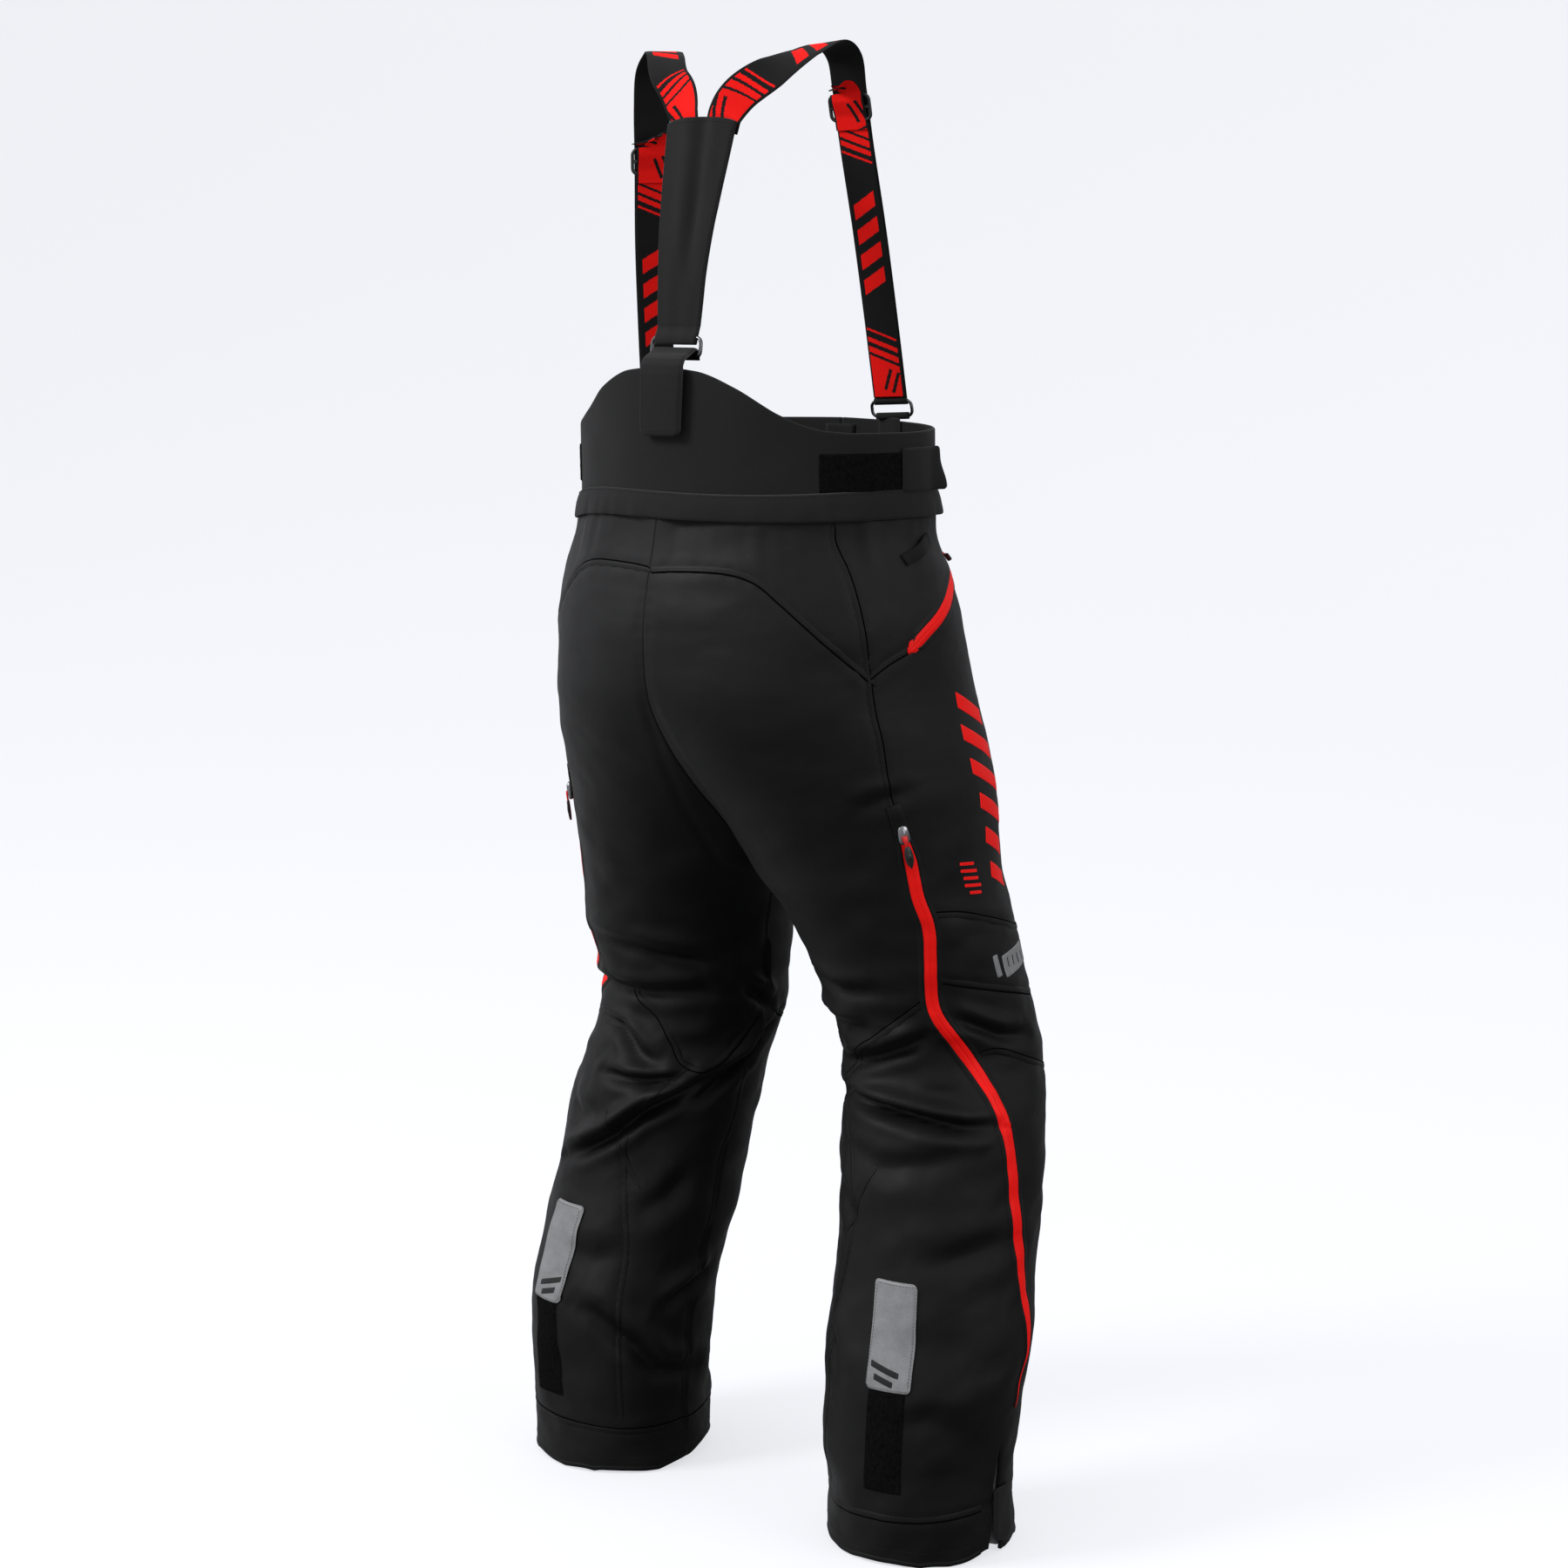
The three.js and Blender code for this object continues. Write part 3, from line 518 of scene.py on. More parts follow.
def cloth_material(name, dark, light, rough=0.82, sheen=0.25, sheen_rough=0.45, weave=1.0, pitch=1.3, kind="twill", coat=0.0, specular=0.35, mottle=24.0, bump=0.25, tone=False):
    """Woven or brushed cloth. UVs are in millimetres."""
    m, nt, bs = material(name)
    uv = node(nt, "ShaderNodeTexCoord").outputs["UV"]
    ob = node(nt, "ShaderNodeTexCoord").outputs["Object"]
    sep = node(nt, "ShaderNodeSeparateXYZ", {0: uv})
    x, y = sep.outputs[0], sep.outputs[1]
    w = 2 * math.pi / pitch
    if kind == "twill":
        d = math_n(nt, "ADD", math_n(nt, "MULTIPLY", x, w), math_n(nt, "MULTIPLY", y, w * 0.62))
        rib = math_n(nt, "SINE", d)
        cross = math_n(nt, "SINE", math_n(nt, "MULTIPLY", y, w * 1.7))
        h = math_n(nt, "ADD", math_n(nt, "MULTIPLY", rib, 0.7), math_n(nt, "MULTIPLY", cross, 0.3))
    elif kind == "plain":
        a = math_n(nt, "SINE", math_n(nt, "MULTIPLY", x, w))
        b = math_n(nt, "SINE", math_n(nt, "MULTIPLY", y, w))
        h = math_n(nt, "MULTIPLY", a, b)
    else:  # brushed
        h = node(nt, "ShaderNodeTexNoise", {"Vector": ob, "Scale": 1400.0, "Detail": 2.0, "Roughness": 0.6}).outputs[0]
        h = math_n(nt, "MULTIPLY_ADD", h, 2.0)
    fine = node(nt, "ShaderNodeTexNoise", {"Vector": ob, "Scale": 520.0, "Detail": 3.0, "Roughness": 0.65}).outputs[0]
    big = node(nt, "ShaderNodeTexNoise", {"Vector": ob, "Scale": mottle, "Detail": 4.0, "Roughness": 0.55}).outputs[0]
    mix = math_n(nt, "ADD", math_n(nt, "MULTIPLY", fine, 0.45), math_n(nt, "MULTIPLY", big, 0.55))
    ramp = node(nt, "ShaderNodeMapRange", {"Value": mix, "From Min": 0.3, "From Max": 0.7}).outputs[0]
    col = node(nt, "ShaderNodeMix", {"Factor": ramp, "A": (*dark, 1), "B": (*light, 1)}, data_type="RGBA")
    for k, v in (("A", (*dark, 1)), ("B", (*light, 1))):
        for s in col.inputs:
            if s.name == k and s.type == "RGBA":
                s.default_value = v
    shade = node(nt, "ShaderNodeMapRange", {"Value": h, "From Min": -1.0, "From Max": 1.0, "To Min": 1 - 0.16 * weave, "To Max": 1 + 0.16 * weave}).outputs[0]
    tint = node(nt, "ShaderNodeVectorMath", {0: col.outputs[2], "Scale": shade}, operation="SCALE").outputs[0]
    if tone:
        # painted light: from 0.70 m up to the hips and seat the colour is brightened up to twice and the sheen weight
        # raised up to 2.2 times, standing in for the light the cloth there catches from above
        zc = node(nt, "ShaderNodeSeparateXYZ", {0: ob}).outputs[2]
        lift = node(nt, "ShaderNodeMapRange", {"Value": zc, "From Min": 0.70, "From Max": 1.06, "To Min": 1.0, "To Max": 2.0}, interpolation_type="SMOOTHSTEP").outputs[0]
        tint = node(nt, "ShaderNodeVectorMath", {0: tint, "Scale": lift}, operation="SCALE").outputs[0]
        sh = node(nt, "ShaderNodeMapRange", {"Value": zc, "From Min": 0.70, "From Max": 1.06, "To Min": sheen, "To Max": sheen * 2.2}, interpolation_type="SMOOTHSTEP").outputs[0]
        nt.links.new(sh, bs.inputs["Sheen Weight"])
    nt.links.new(tint, bs.inputs["Base Color"])
    rr = node(nt, "ShaderNodeMapRange", {"Value": big, "From Min": 0.3, "From Max": 0.7, "To Min": rough - 0.05, "To Max": min(1.0, rough + 0.06)}).outputs[0]
    nt.links.new(rr, bs.inputs["Roughness"])
    if not tone:
        bs.inputs["Sheen Weight"].default_value = sheen
    bs.inputs["Sheen Roughness"].default_value = sheen_rough
    bs.inputs["Specular IOR Level"].default_value = specular
    bs.inputs["Coat Weight"].default_value = coat
    hh = math_n(nt, "ADD", math_n(nt, "MULTIPLY", h, 0.5), math_n(nt, "MULTIPLY", fine, 0.8))
    bp = node(nt, "ShaderNodeBump", {"Height": hh, "Strength": bump, "Distance": 0.0004})
    nt.links.new(bp.outputs[0], bs.inputs["Normal"])
    return m


def hard_material(name, color, rough, metal=0.0, grain=900.0, bump=0.05, specular=0.5, wear=0.12):
    m, nt, bs = material(name)
    ob = node(nt, "ShaderNodeTexCoord").outputs["Object"]
    n1 = node(nt, "ShaderNodeTexNoise", {"Vector": ob, "Scale": grain, "Detail": 3.0}).outputs[0]
    n2 = node(nt, "ShaderNodeTexNoise", {"Vector": ob, "Scale": 90.0, "Detail": 4.0}).outputs[0]
    c = node(nt, "ShaderNodeMapRange", {"Value": n2, "From Min": 0.3, "From Max": 0.7, "To Min": 1 - wear, "To Max": 1 + wear}).outputs[0]
    tint = node(nt, "ShaderNodeVectorMath", {0: color, "Scale": c}, operation="SCALE").outputs[0]
    nt.links.new(tint, bs.inputs["Base Color"])
    nt.links.new(node(nt, "ShaderNodeMapRange", {"Value": n1, "From Min": 0.3, "From Max": 0.7, "To Min": max(0.05, rough - 0.08), "To Max": rough + 0.08}).outputs[0], bs.inputs["Roughness"])
    bs.inputs["Metallic"].default_value = metal
    bs.inputs["Specular IOR Level"].default_value = specular
    bp = node(nt, "ShaderNodeBump", {"Height": n1, "Strength": bump, "Distance": 0.0002})
    nt.links.new(bp.outputs[0], bs.inputs["Normal"])
    return m


# painted light: tone=True brightens the shell's colour and raises its sheen over the hips and seat
M_SHELL = cloth_material("shell_cloth", (0.0024, 0.0024, 0.0026), (0.0038, 0.0038, 0.0040), rough=0.56, sheen=0.012, pitch=1.2, specular=0.17, tone=True)
M_SOFT = cloth_material("softshell", (0.0085, 0.0085, 0.0089), (0.0120, 0.0120, 0.0124), rough=0.86, sheen=0.07, kind="brushed", weave=0.5, specular=0.14)
# painted shade: near-black dull cloth for thin strips laid beside the seams in place of their shadow lines
M_SEAM_SHADE = cloth_material("seam_shade_paint", (0.0008, 0.0008, 0.0009), (0.0014, 0.0014, 0.0015), rough=0.9, sheen=0.0, pitch=1.6, kind="plain", specular=0.03)
M_TRIM = cloth_material("binding", (0.0060, 0.0060, 0.0064), (0.0095, 0.0095, 0.0100), rough=0.7, sheen=0.1, pitch=1.6, kind="plain", specular=0.3)
M_THREAD = cloth_material("thread", (0.0060, 0.0060, 0.0063), (0.0110, 0.0110, 0.0115), rough=0.6, sheen=0.03, pitch=0.5, specular=0.18)
M_RED = cloth_material("red_zip_tape", (0.86, 0.0055, 0.0036), (0.95, 0.0080, 0.0056), rough=0.5, sheen=0.0, weave=0.10, pitch=0.9, specular=0.14, bump=0.10)
M_REDW = cloth_material("red_web", (0.80, 0.0060, 0.0042), (0.95, 0.0100, 0.0075), rough=0.75, sheen=0.0, weave=0.5, pitch=1.1, kind="plain", specular=0.10)
M_WEB = cloth_material("black_web", (0.0055, 0.0055, 0.0058), (0.0095, 0.0095, 0.0100), rough=0.75, sheen=0.03, weave=1.4, pitch=1.1, kind="plain", specular=0.12)
M_LOOP = cloth_material("loop_pile", (0.0010, 0.0010, 0.0011), (0.0052, 0.0052, 0.0055), rough=0.95, sheen=0.0, kind="brushed", weave=2.6, specular=0.03, mottle=220.0, bump=0.9)
M_FILM = cloth_material("red_film", (0.88, 0.0055, 0.0036), (0.95, 0.0080, 0.0056), rough=0.55, sheen=0.0, weave=0.15, pitch=1.2, specular=0.12, bump=0.12)
M_SILVER = cloth_material("reflective_cloth", (0.15, 0.152, 0.155), (0.24, 0.242, 0.246), rough=0.42, sheen=0.0, weave=0.3, pitch=0.9, kind="plain", specular=0.5, mottle=60.0, bump=0.15)
M_SEW = cloth_material("pale_thread", (0.08, 0.08, 0.082), (0.13, 0.13, 0.132), rough=0.6, sheen=0.0, pitch=0.5, specular=0.3)
M_LINING = cloth_material("lining", (0.020, 0.020, 0.021), (0.034, 0.034, 0.036), rough=0.7, sheen=0.15, pitch=0.8, kind="plain", specular=0.3)
M_GREY = cloth_material("gaiter_cloth", (0.10, 0.10, 0.104), (0.15, 0.15, 0.155), rough=0.6, sheen=0.1, pitch=1.0, kind="plain", specular=0.35)
M_METAL = hard_material("ring_metal", (0.13, 0.13, 0.137), 0.30, 1.0)
M_GUN = hard_material("slider_metal", (0.16, 0.16, 0.17), 0.34, 1.0)
M_STEEL = hard_material("slider_steel", (0.30, 0.30, 0.315), 0.30, 1.0)
M_PLASTIC = hard_material("black_plastic", (0.012, 0.012, 0.0125), 0.42, 0.0, bump=0.1)
M_REDPL = hard_material("red_plastic", (0.75, 0.012, 0.010), 0.35, 0.0)

SIDES = (("left", 1), ("right", -1))


# ------------------------------------------------------------------ trouser halves
def past(z):
    return np.degrees(np.arcsin(np.clip(herm(z, 1) / herm(z, 3), 0, 1)))


SEAM_LINES = [YOKE_SEAM, SIDE_SEAM, CB_SEAM, POCKET_SEAM, KNEE_TOP, KNEE_LOW, SHIN_SEAM, BACK_KNEE, DART, INNER_BACK, CUFF_SEAM, INSEAM]


def seam_pull(z, psi):
    """The cloth dips and puckers at its seams."""
    out = np.zeros(np.broadcast(z, psi).shape)
    r = herm(z, 3)
    for k, line in enumerate(SEAM_LINES):
        zs = [p[0] for p in line]
        near = (z > min(zs) - 16) & (z < max(zs) + 16)
        if not near.any():
            continue
        rr = float(np.mean(herm(np.array(zs, float), 3))) * math.pi / 180
        d, t = poly_distance(z[near], psi[near] * rr, line, rr)
        end = np.minimum(1, np.minimum(t, 1 - t) * 14 + 0.15)
        out[near] += end * (-0.75 * np.exp(-(d / 4.6) ** 2) + 0.35 * np.exp(-((d - 11) / 6) ** 2))
        out[near] += end * 0.28 * np.sin(t * (max(zs) - min(zs) + 60) / 1.9 + k) * np.exp(-(d / 7.5) ** 2)
    return out


ZTOP = 1106.0
for word, side in SIDES:
    rows = 300
    cols = 216
    z1 = np.linspace(0, ZTOP, rows)
    u = np.linspace(0, 1, cols + 1)
    Z, U = np.meshgrid(z1, u, indexing="ij")
    pz = past(Z)
    PSI = -pz + (180 + 2 * pz) * U
    # the slit at the outer hem: the cloth either side moves apart
    slit_psi, slit_z = 89.0, 122.0
    c0 = int(round((slit_psi + 90) / 360 * cols))
    open_w = np.where(Z < slit_z, 9.5 * np.clip(1 - Z / slit_z, 0, 1) ** 0.75, 0)
    dpsi = PSI - slit_psi
    shift = np.sign(dpsi) * open_w / herm(Z, 3) * 57.3 * np.exp(-np.abs(dpsi) / 14)
    shift[:, c0] = 0
    PS = PSI + shift
    off = seam_pull(Z, PSI)
    x = herm(Z, 1) + herm(Z, 3) * np.sin(np.radians(PSI))
    off *= 1 - smooth(Z, 705, 720) * (1 - smooth(x, 0, 7)) * 0.6
    V = S(side, Z, PS, off)
    # centre edges lie exactly on the middle plane
    mid = Z[:, 0] > 712
    V[mid, 0, 0] = 0
    V[mid, -1, 0] = 0
    verts = V.reshape(-1, 3)
    F = grid_faces(rows, cols + 1)
    # split the lattice down the slit column
    low = np.where(z1 < slit_z)[0]
    extra = {}
    add = []
    for j in low:
        i0 = j * (cols + 1) + c0
        extra[i0] = len(verts) + len(add)
        w = open_w[j, c0] / herm(z1[j], 3) * 57.3
        verts[i0] = S(side, z1[j], slit_psi - w, off[j, c0])
        add.append(S(side, z1[j], slit_psi + w, off[j, c0]))
    verts = np.concatenate([verts, np.array(add).reshape(-1, 3)])
    F = F.copy()
    right = (F[:, 0] % (cols + 1)) >= c0
    for q in (0, 3):
        col = F[:, q]
        sel = right & (col % (cols + 1) == c0) & np.isin(col, list(extra))
        F[sel, q] = [extra[k] for k in col[sel]]
    arc = np.cumsum(np.concatenate([np.zeros((rows, 1)), np.linalg.norm(np.diff(V, axis=1), axis=2)], 1), 1)
    uv = np.stack([arc, Z], -1).reshape(-1, 2)
    uv = np.concatenate([uv, uv[list(extra)]])
    # weld the inner leg's two edges below the crotch
    weld = {}
    for j in range(rows):
        if not mid[j]:
            weld[j * (cols + 1) + cols] = j * (cols + 1)
    lut = np.arange(len(verts))
    for a, b in weld.items():
        lut[a] = b
    F = lut[F]
    if side < 0:
        F = F[:, ::-1]
    names = [n + word for n in ("seat_", "hip_side_", "front_", "knee_", "shin_", "calf_", "cuff_")] + (["back_yoke"] if side > 0 else [])
    ob = put("trouser_" + word, verts, F, M_SHELL, blend="lower_leg_" + word, replaces=names, slot="shell_cloth", uv=uv, mats=[M_SHELL, M_LINING],
             fmat=np.zeros(len(F)), mods=[("SOLIDIFY", {"thickness": 0.0026, "offset": -1.0, "use_even_offset": False, "material_offset": 1})])
    body = lambda a, b, o, side=side: S(side, a, b, o)
    LAP = [(-4.6, -1.0), (-4.5, -0.5), (-2.4, 0.20), (1.2, 0.55), (2.1, 0.48), (2.5, 0.0), (2.5, -1.0)]
    # painted shade: cross section of a thin near-black strip laid just beside a lap's edge, standing for the seam's
    # shadow line
    SEAM_SHADE_X = [(2.1, -1.0), (2.1, 0.12), (2.7, 0.34), (3.4, 0.30), (4.0, 0.0), (4.0, -1.0)]
    seam_shade = Bag()
    bag, thr = Bag(), Bag()
    laps = [(YOKE_SEAM, 1), (SIDE_SEAM, 1), (POCKET_SEAM, -1), (KNEE_TOP, 1), (KNEE_LOW, -1), (SHIN_SEAM, 1), (BACK_KNEE, -1), (DART, 1), (INNER_BACK, 1), (INSEAM, 1)]
    for line, way in laps:
        soft = line is DART or line is INNER_BACK or line is INSEAM
        cr = [(way * a, h - (0.34 if soft else 0.12)) for a, h in LAP]
        if line is not DART and line is not INNER_BACK and line is not INSEAM:
          seam_shade.add(*strip(body, line, [(way * a, h - 0.05) for a, h in SEAM_SHADE_X], 2.6, taper=lambda t: np.clip(np.minimum(t, 1 - t) * 40, 0.25, 1)))
        bag.add(*strip(body, line, cr, 2.6, taper=lambda t: np.clip(np.minimum(t, 1 - t) * 40, 0.25, 1)))
        stitches(thr, body, line, side=-way * 0.9, lift=0.36, high=0.28)
    for part in ([p for p in CUFF_SEAM if p[1] <= 79], [p for p in CUFF_SEAM if p[1] >= 99]):
        bag.add(*strip(body, part, [(q, h - 0.1) for q, h in LAP], 3.0))
        seam_shade.add(*strip(body, part, [(q, h - 0.05) for q, h in SEAM_SHADE_X], 3.0))
        stitches(thr, body, part, side=1.2, lift=-0.1)
        stitches(thr, body, [(16, p[1]) for p in part], side=0, lift=-0.05)
        # turned hem
        bag.add(*strip(body, [(2.2, p[1]) for p in part], [(-2.4, -2.8), (-2.9, -1.2), (-2.3, 0.3), (0, 0.75), (2.6, 0.5), (3.2, -0.6)], 3.0))
    # painted shade: the dark strips beside the seams and cuff seams go into one object
    seam_shade.put("seam_shade_strips_" + word, M_SEAM_SHADE, blend="lower_leg_" + word, slot="shell_cloth")
    bag.put("seams_" + word, M_SHELL, blend="lower_leg_" + word, slot="shell_cloth")
    thr.put("stitching_" + word, M_THREAD, blend="lower_leg_" + word, slot="shell_cloth")

# ------------------------------------------------------------------ collar, band, fly
def band_low(deg):
    d = (np.asarray(deg, float) + 180) % 360 - 180  # 0 front, +90 wearer's left, 180 back
    b = (np.asarray(deg, float) % 360) - 180  # from back centre, + towards the wearer's right
    drop = 13 * np.exp(-((b + 62) / 26) ** 2) + 1.5 * np.sin(np.radians(b * 3))
    return 1103.5 - drop - 1.5 * np.exp(-(d / 40) ** 2)


n = 420
deg = np.linspace(0.3, 359.7, n)
prof = []
top = rim(deg - 180)
zb = 1098.0
ZL = []
loop = []
for t in np.linspace(0, 1, 26):  # outside going up
    loop.append((zb + (top - 2.0 - zb) * t, 0.0 * top))
for a in np.linspace(20, 160, 6):  # over the edge
    loop.append((top - 2.0 + 2.1 * math.sin(math.radians(a)), -2.0 + 2.0 * math.cos(math.radians(a)) + 0 * top))
for t in np.linspace(1, 0, 14):
    loop.append((zb + (top - 2.0 - zb) * t, -4.0 + 0 * top))
zz = np.array([p[0] for p in loop]).T
oo = np.array([p[1] for p in loop]).T
V = C(zz, deg[:, None], oo)
F = grid_faces(n, len(loop), True)
m = len(loop)
faces = F.tolist() + [list(range(m))[::-1], [(n - 1) * m + i for i in range(m)]]
if not outward(V, F):
    faces = [q[::-1] for q in faces]
arc = np.cumsum(np.concatenate([[0], np.linalg.norm(np.diff(V[:, 0], axis=0), axis=1)]))
uv = np.stack([np.broadcast_to(arc[:, None], (n, m)), zz], -1).reshape(-1, 2)
put("collar", V, faces, M_SOFT, replaces=["back_collar", "front_collar_left", "front_collar_right"], slot="softshell", uv=uv)

low = band_low(deg)
hi = low + 29 - 1.5 * np.cos(np.radians(deg * 2))
bd = [(0.0, 0.5, 1.0), (0.06, 2.6, 1.0), (0.14, 3.2, 1.0), (0.24, 4.4, 1.0), (0.45, 6.0, 1.0), (0.7, 7.1, 1.0), (0.88, 7.9, 1.0), (0.96, 7.8, 1.0), (1.0, 7.0, 1.0), (0.99, 6.1, 1.0), (0.93, 5.6, 1.0), (0.7, 4.8, 1.0), (0.35, 2.4, 1.0), (0.1, 0.4, 1.0)]
rng_d = deg * 3.2
zz = np.stack([hi + (low - hi) * b[0] for b in bd], 1)
oo = np.stack([np.full(n, b[1]) + (0.9 * noise(rng_d / 26, np.full(n, b[0] * 2.0), 5) + 0.5 * noise(rng_d / 9, np.full(n, 3.0), 6)) * smooth(b[0], 0.1, 0.8) for b in bd], 1)
V = C(zz, deg[:, None], oo)
m = len(bd)
F = grid_faces(n, m, True)
faces = F.tolist() + [list(range(m))[::-1], [(n - 1) * m + i for i in range(m)]]
if not outward(V, F):
    faces = [q[::-1] for q in faces]
uv = np.stack([np.broadcast_to(arc[:, None], (n, m)), zz], -1).reshape(-1, 2)
put("waistband_flap", V, faces, M_SOFT, replaces=["waistband"], slot="softshell", uv=uv)

thr = Bag()
cs = lambda a, b, o: C(a, b, o)
angles = list(np.linspace(2, 358, 120))
stitches(thr, cs, [(float(band_low(a)) + 29 - 1.5 * math.cos(math.radians(a * 2)) - 2.6, a) for a in angles], lift=3.0)
thr.put("collar_stitching", M_THREAD, slot="softshell")

# fly: two tapes and a coil under a narrow flap; the fly's slider is not built here
def fly(z, x, off):
    """Front centre line, x in mm across."""
    z, x, off = np.broadcast_arrays(np.asarray(z, float), np.asarray(x, float), np.asarray(off, float))
    body = herm(z, 2) - herm(z, 4) * np.sqrt(1 - (x / 300) ** 2)
    coll = RCY - RF * np.sqrt(1 - (x / RA) ** 2)
    t = smooth(z, 1080, 1112)
    y = body * (1 - t) + (coll - 2.5) * t
    return np.stack([x, y - off, z], -1)


bag = Bag()
for sx in (-1, 1):
    bag.add(*closed_sheet(lambda u, v, k, sx=sx: fly(905 + 283 * v, sx * (1.4 + 12.6 * u), 1.7 - 1.2 * k - 0.5 * u), 5, 90)[:2])
bag.put("fly_tapes", M_TRIM, replaces=["fly_zip"], slot="zip_tape")
v, f, par = closed_sheet(lambda u, v, k: C(1102 + 88 * v, (2 * u - 1) * 5.5, -5.0 - 1.6 * k), 8, 24)
put("fly_placket", v, f, M_SOFT, slot="softshell", uv=par * [40, 88])
bag = Bag()
for k in range(176):
    z = 908 + k * 1.6
    sx = -1 if k % 2 else 1
    u, v = np.meshgrid(np.linspace(0, 1, 4), np.linspace(0, 1, 4))
    bag.add(*closed_sheet(lambda u, v, q, z=z, sx=sx: fly(z + (v - 0.5) * 1.25, sx * (-1.0 + 4.0 * u), 3.2 - 1.6 * q - 0.8 * np.abs(2 * v - 1) ** 2), 2, 2)[:2])
bag.put("fly_teeth", M_PLASTIC, slot="black_plastic")

# ------------------------------------------------------------------ zips
VENT = [(783, 125), (741, 125), (684, 126), (645, 131), (618, 135), (582, 138), (546, 131), (507, 119), (480, 112), (444, 105), (399, 100), (360, 96), (303, 88), (264, 81), (225, 76), (201, 76), (160, 79)]
ZIPX = [(-7.2, -0.9), (-7.1, 0.75), (-6.2, 1.25), (-2.2, 1.65), (-0.9, 1.75), (-0.35, 1.45), (0, 1.05), (0.35, 1.45), (0.9, 1.75), (2.2, 1.65), (6.2, 1.25), (7.1, 0.75), (7.2, -0.9)]
LIPX = lambda s: [(s * 6.8, -0.9), (s * 6.7, 1.0), (s * 7.4, 1.5), (s * 9.2, 1.3), (s * 12.5, 0.3), (s * 13.8, -0.7), (s * 13.6, -0.9)]
for word, side in SIDES:
    body = lambda a, b, o, side=side: S(side, a, b, o)
    taper = lambda t: np.clip(np.minimum(0.55 + t * 9, (1 - t) * 5.5 + 0.06), 0.05, 1)
    v, f, uv = strip(body, VENT, ZIPX, 2.6, taper=taper)
    put("vent_zip_tape_" + word, v, f, M_RED, blend="lower_leg_" + word, replaces=["vent_zip_" + word], slot="red_tape", uv=uv)
    bag, thr = Bag(), Bag()
    for s in (-1, 1):
        v, f, uv = strip(body, VENT, LIPX(s), 2.6, taper=taper)
        bag.add(v, f, uv)
    # little box of cloth over the zip's upper end
    v, f, uv = strip(body, [(812, 124.6), (781, 125)], [(-8.5, -0.5), (-8.2, 1.6), (-6, 2.4), (0, 2.9), (6, 2.4), (8.2, 1.6), (8.5, -0.5)], 1.5)
    bag.add(v, f, uv)
    stitches(thr, body, [(809, 122.2), (785, 122.6)], lift=2.0)
    stitches(thr, body, [(809, 127.0), (785, 127.4)], lift=2.0)
    stitches(thr, body, [(810, 122.4), (810, 127.0)], lift=2.2)
    bag.put("vent_welts_" + word, M_SHELL, blend="lower_leg_" + word, slot="shell_cloth")
    thr.put("vent_stitching_" + word, M_THREAD, blend="lower_leg_" + word, slot="shell_cloth")
    # hand pocket
    P = [(970, 104.2), (972, 103), (993, 94), (1017, 80), (1038, 64), (1047, 54), (1054, 44), (1058, 37)]
    v, f, uv = strip(body, P, ZIPX, 2.0, taper=lambda t: np.clip(np.minimum(t, 1 - t) * 30, 0.5, 1))
    put("pocket_zip_tape_" + word, v, f, M_RED, replaces=["pocket_zip_" + word], slot="red_tape", uv=uv)
    bag, thr = Bag(), Bag()
    for s in (-1, 1):
        v, f, uv = strip(body, P, LIPX(s), 2.0, taper=lambda t: np.clip(np.minimum(t, 1 - t) * 12, 0.3, 1))
        bag.add(v, f, uv)
        stitches(thr, body, P, side=s * 9.6, lift=0.9)
    bag.put("pocket_welts_" + word, M_SHELL, slot="shell_cloth")
    thr.put("pocket_stitching_" + word, M_THREAD, slot="shell_cloth")
    # hanging loop at the hip
    v, f, uv = strip(body, [(1062, 99.5), (1066, 96), (1073, 90), (1078, 85), (1081, 80.5)], [(-6.5, 0.2), (-6.5, 1.7), (-5.4, 2.4), (5.4, 2.4), (6.5, 1.7), (6.5, 0.2)], 1.6)
    # it stands off the cloth in the middle
    mid = (uv[:, 1] - uv[:, 1].min()) / np.ptp(uv[:, 1])
    lift = (4.2 * np.sin(np.pi * np.clip(mid * 1.25 - 0.125, 0, 1)))[:, None]
    nrm = S(side, 1072, 90, 10.0) - S(side, 1072, 90, 0.0)
    put("hip_loop_web_" + word, v + lift * (nrm / np.linalg.norm(nrm)), f, M_WEB, replaces=["hip_loop_" + word], slot="webbing", uv=uv)

# ------------------------------------------------------------------ flat patches on the cloth
def patch(f, centre, w, h, r, t, body=ROOT, lift=0.2, nu=14, nv=24, dome=0.0, lean=0.0, skew=0.0):
    """A rounded flat piece lying on a surface. centre is (height, degrees); lean is degrees moved per mm of height."""
    z0, b0 = centre

    def fn(u, v, k):
        x, y, e = rounded(u, v, w, h, r)
        z = z0 + y + skew * x
        one = np.linalg.norm(f(z, np.full(z.shape, b0) + 0.5, 0.0) - f(z, np.full(z.shape, b0) - 0.5, 0.0), axis=-1)
        b = b0 + x / one * SIGN[0] + lean * y
        top = t * (1 - np.exp(-np.maximum(e, 0) / 0.7)) + dome * (1 - (2 * u - 1) ** 2) * (1 - (2 * v - 1) ** 2)
        return f(z, b, lift + (top if k == 0 else 0.0))

    return closed_sheet(fn, nu, nv)


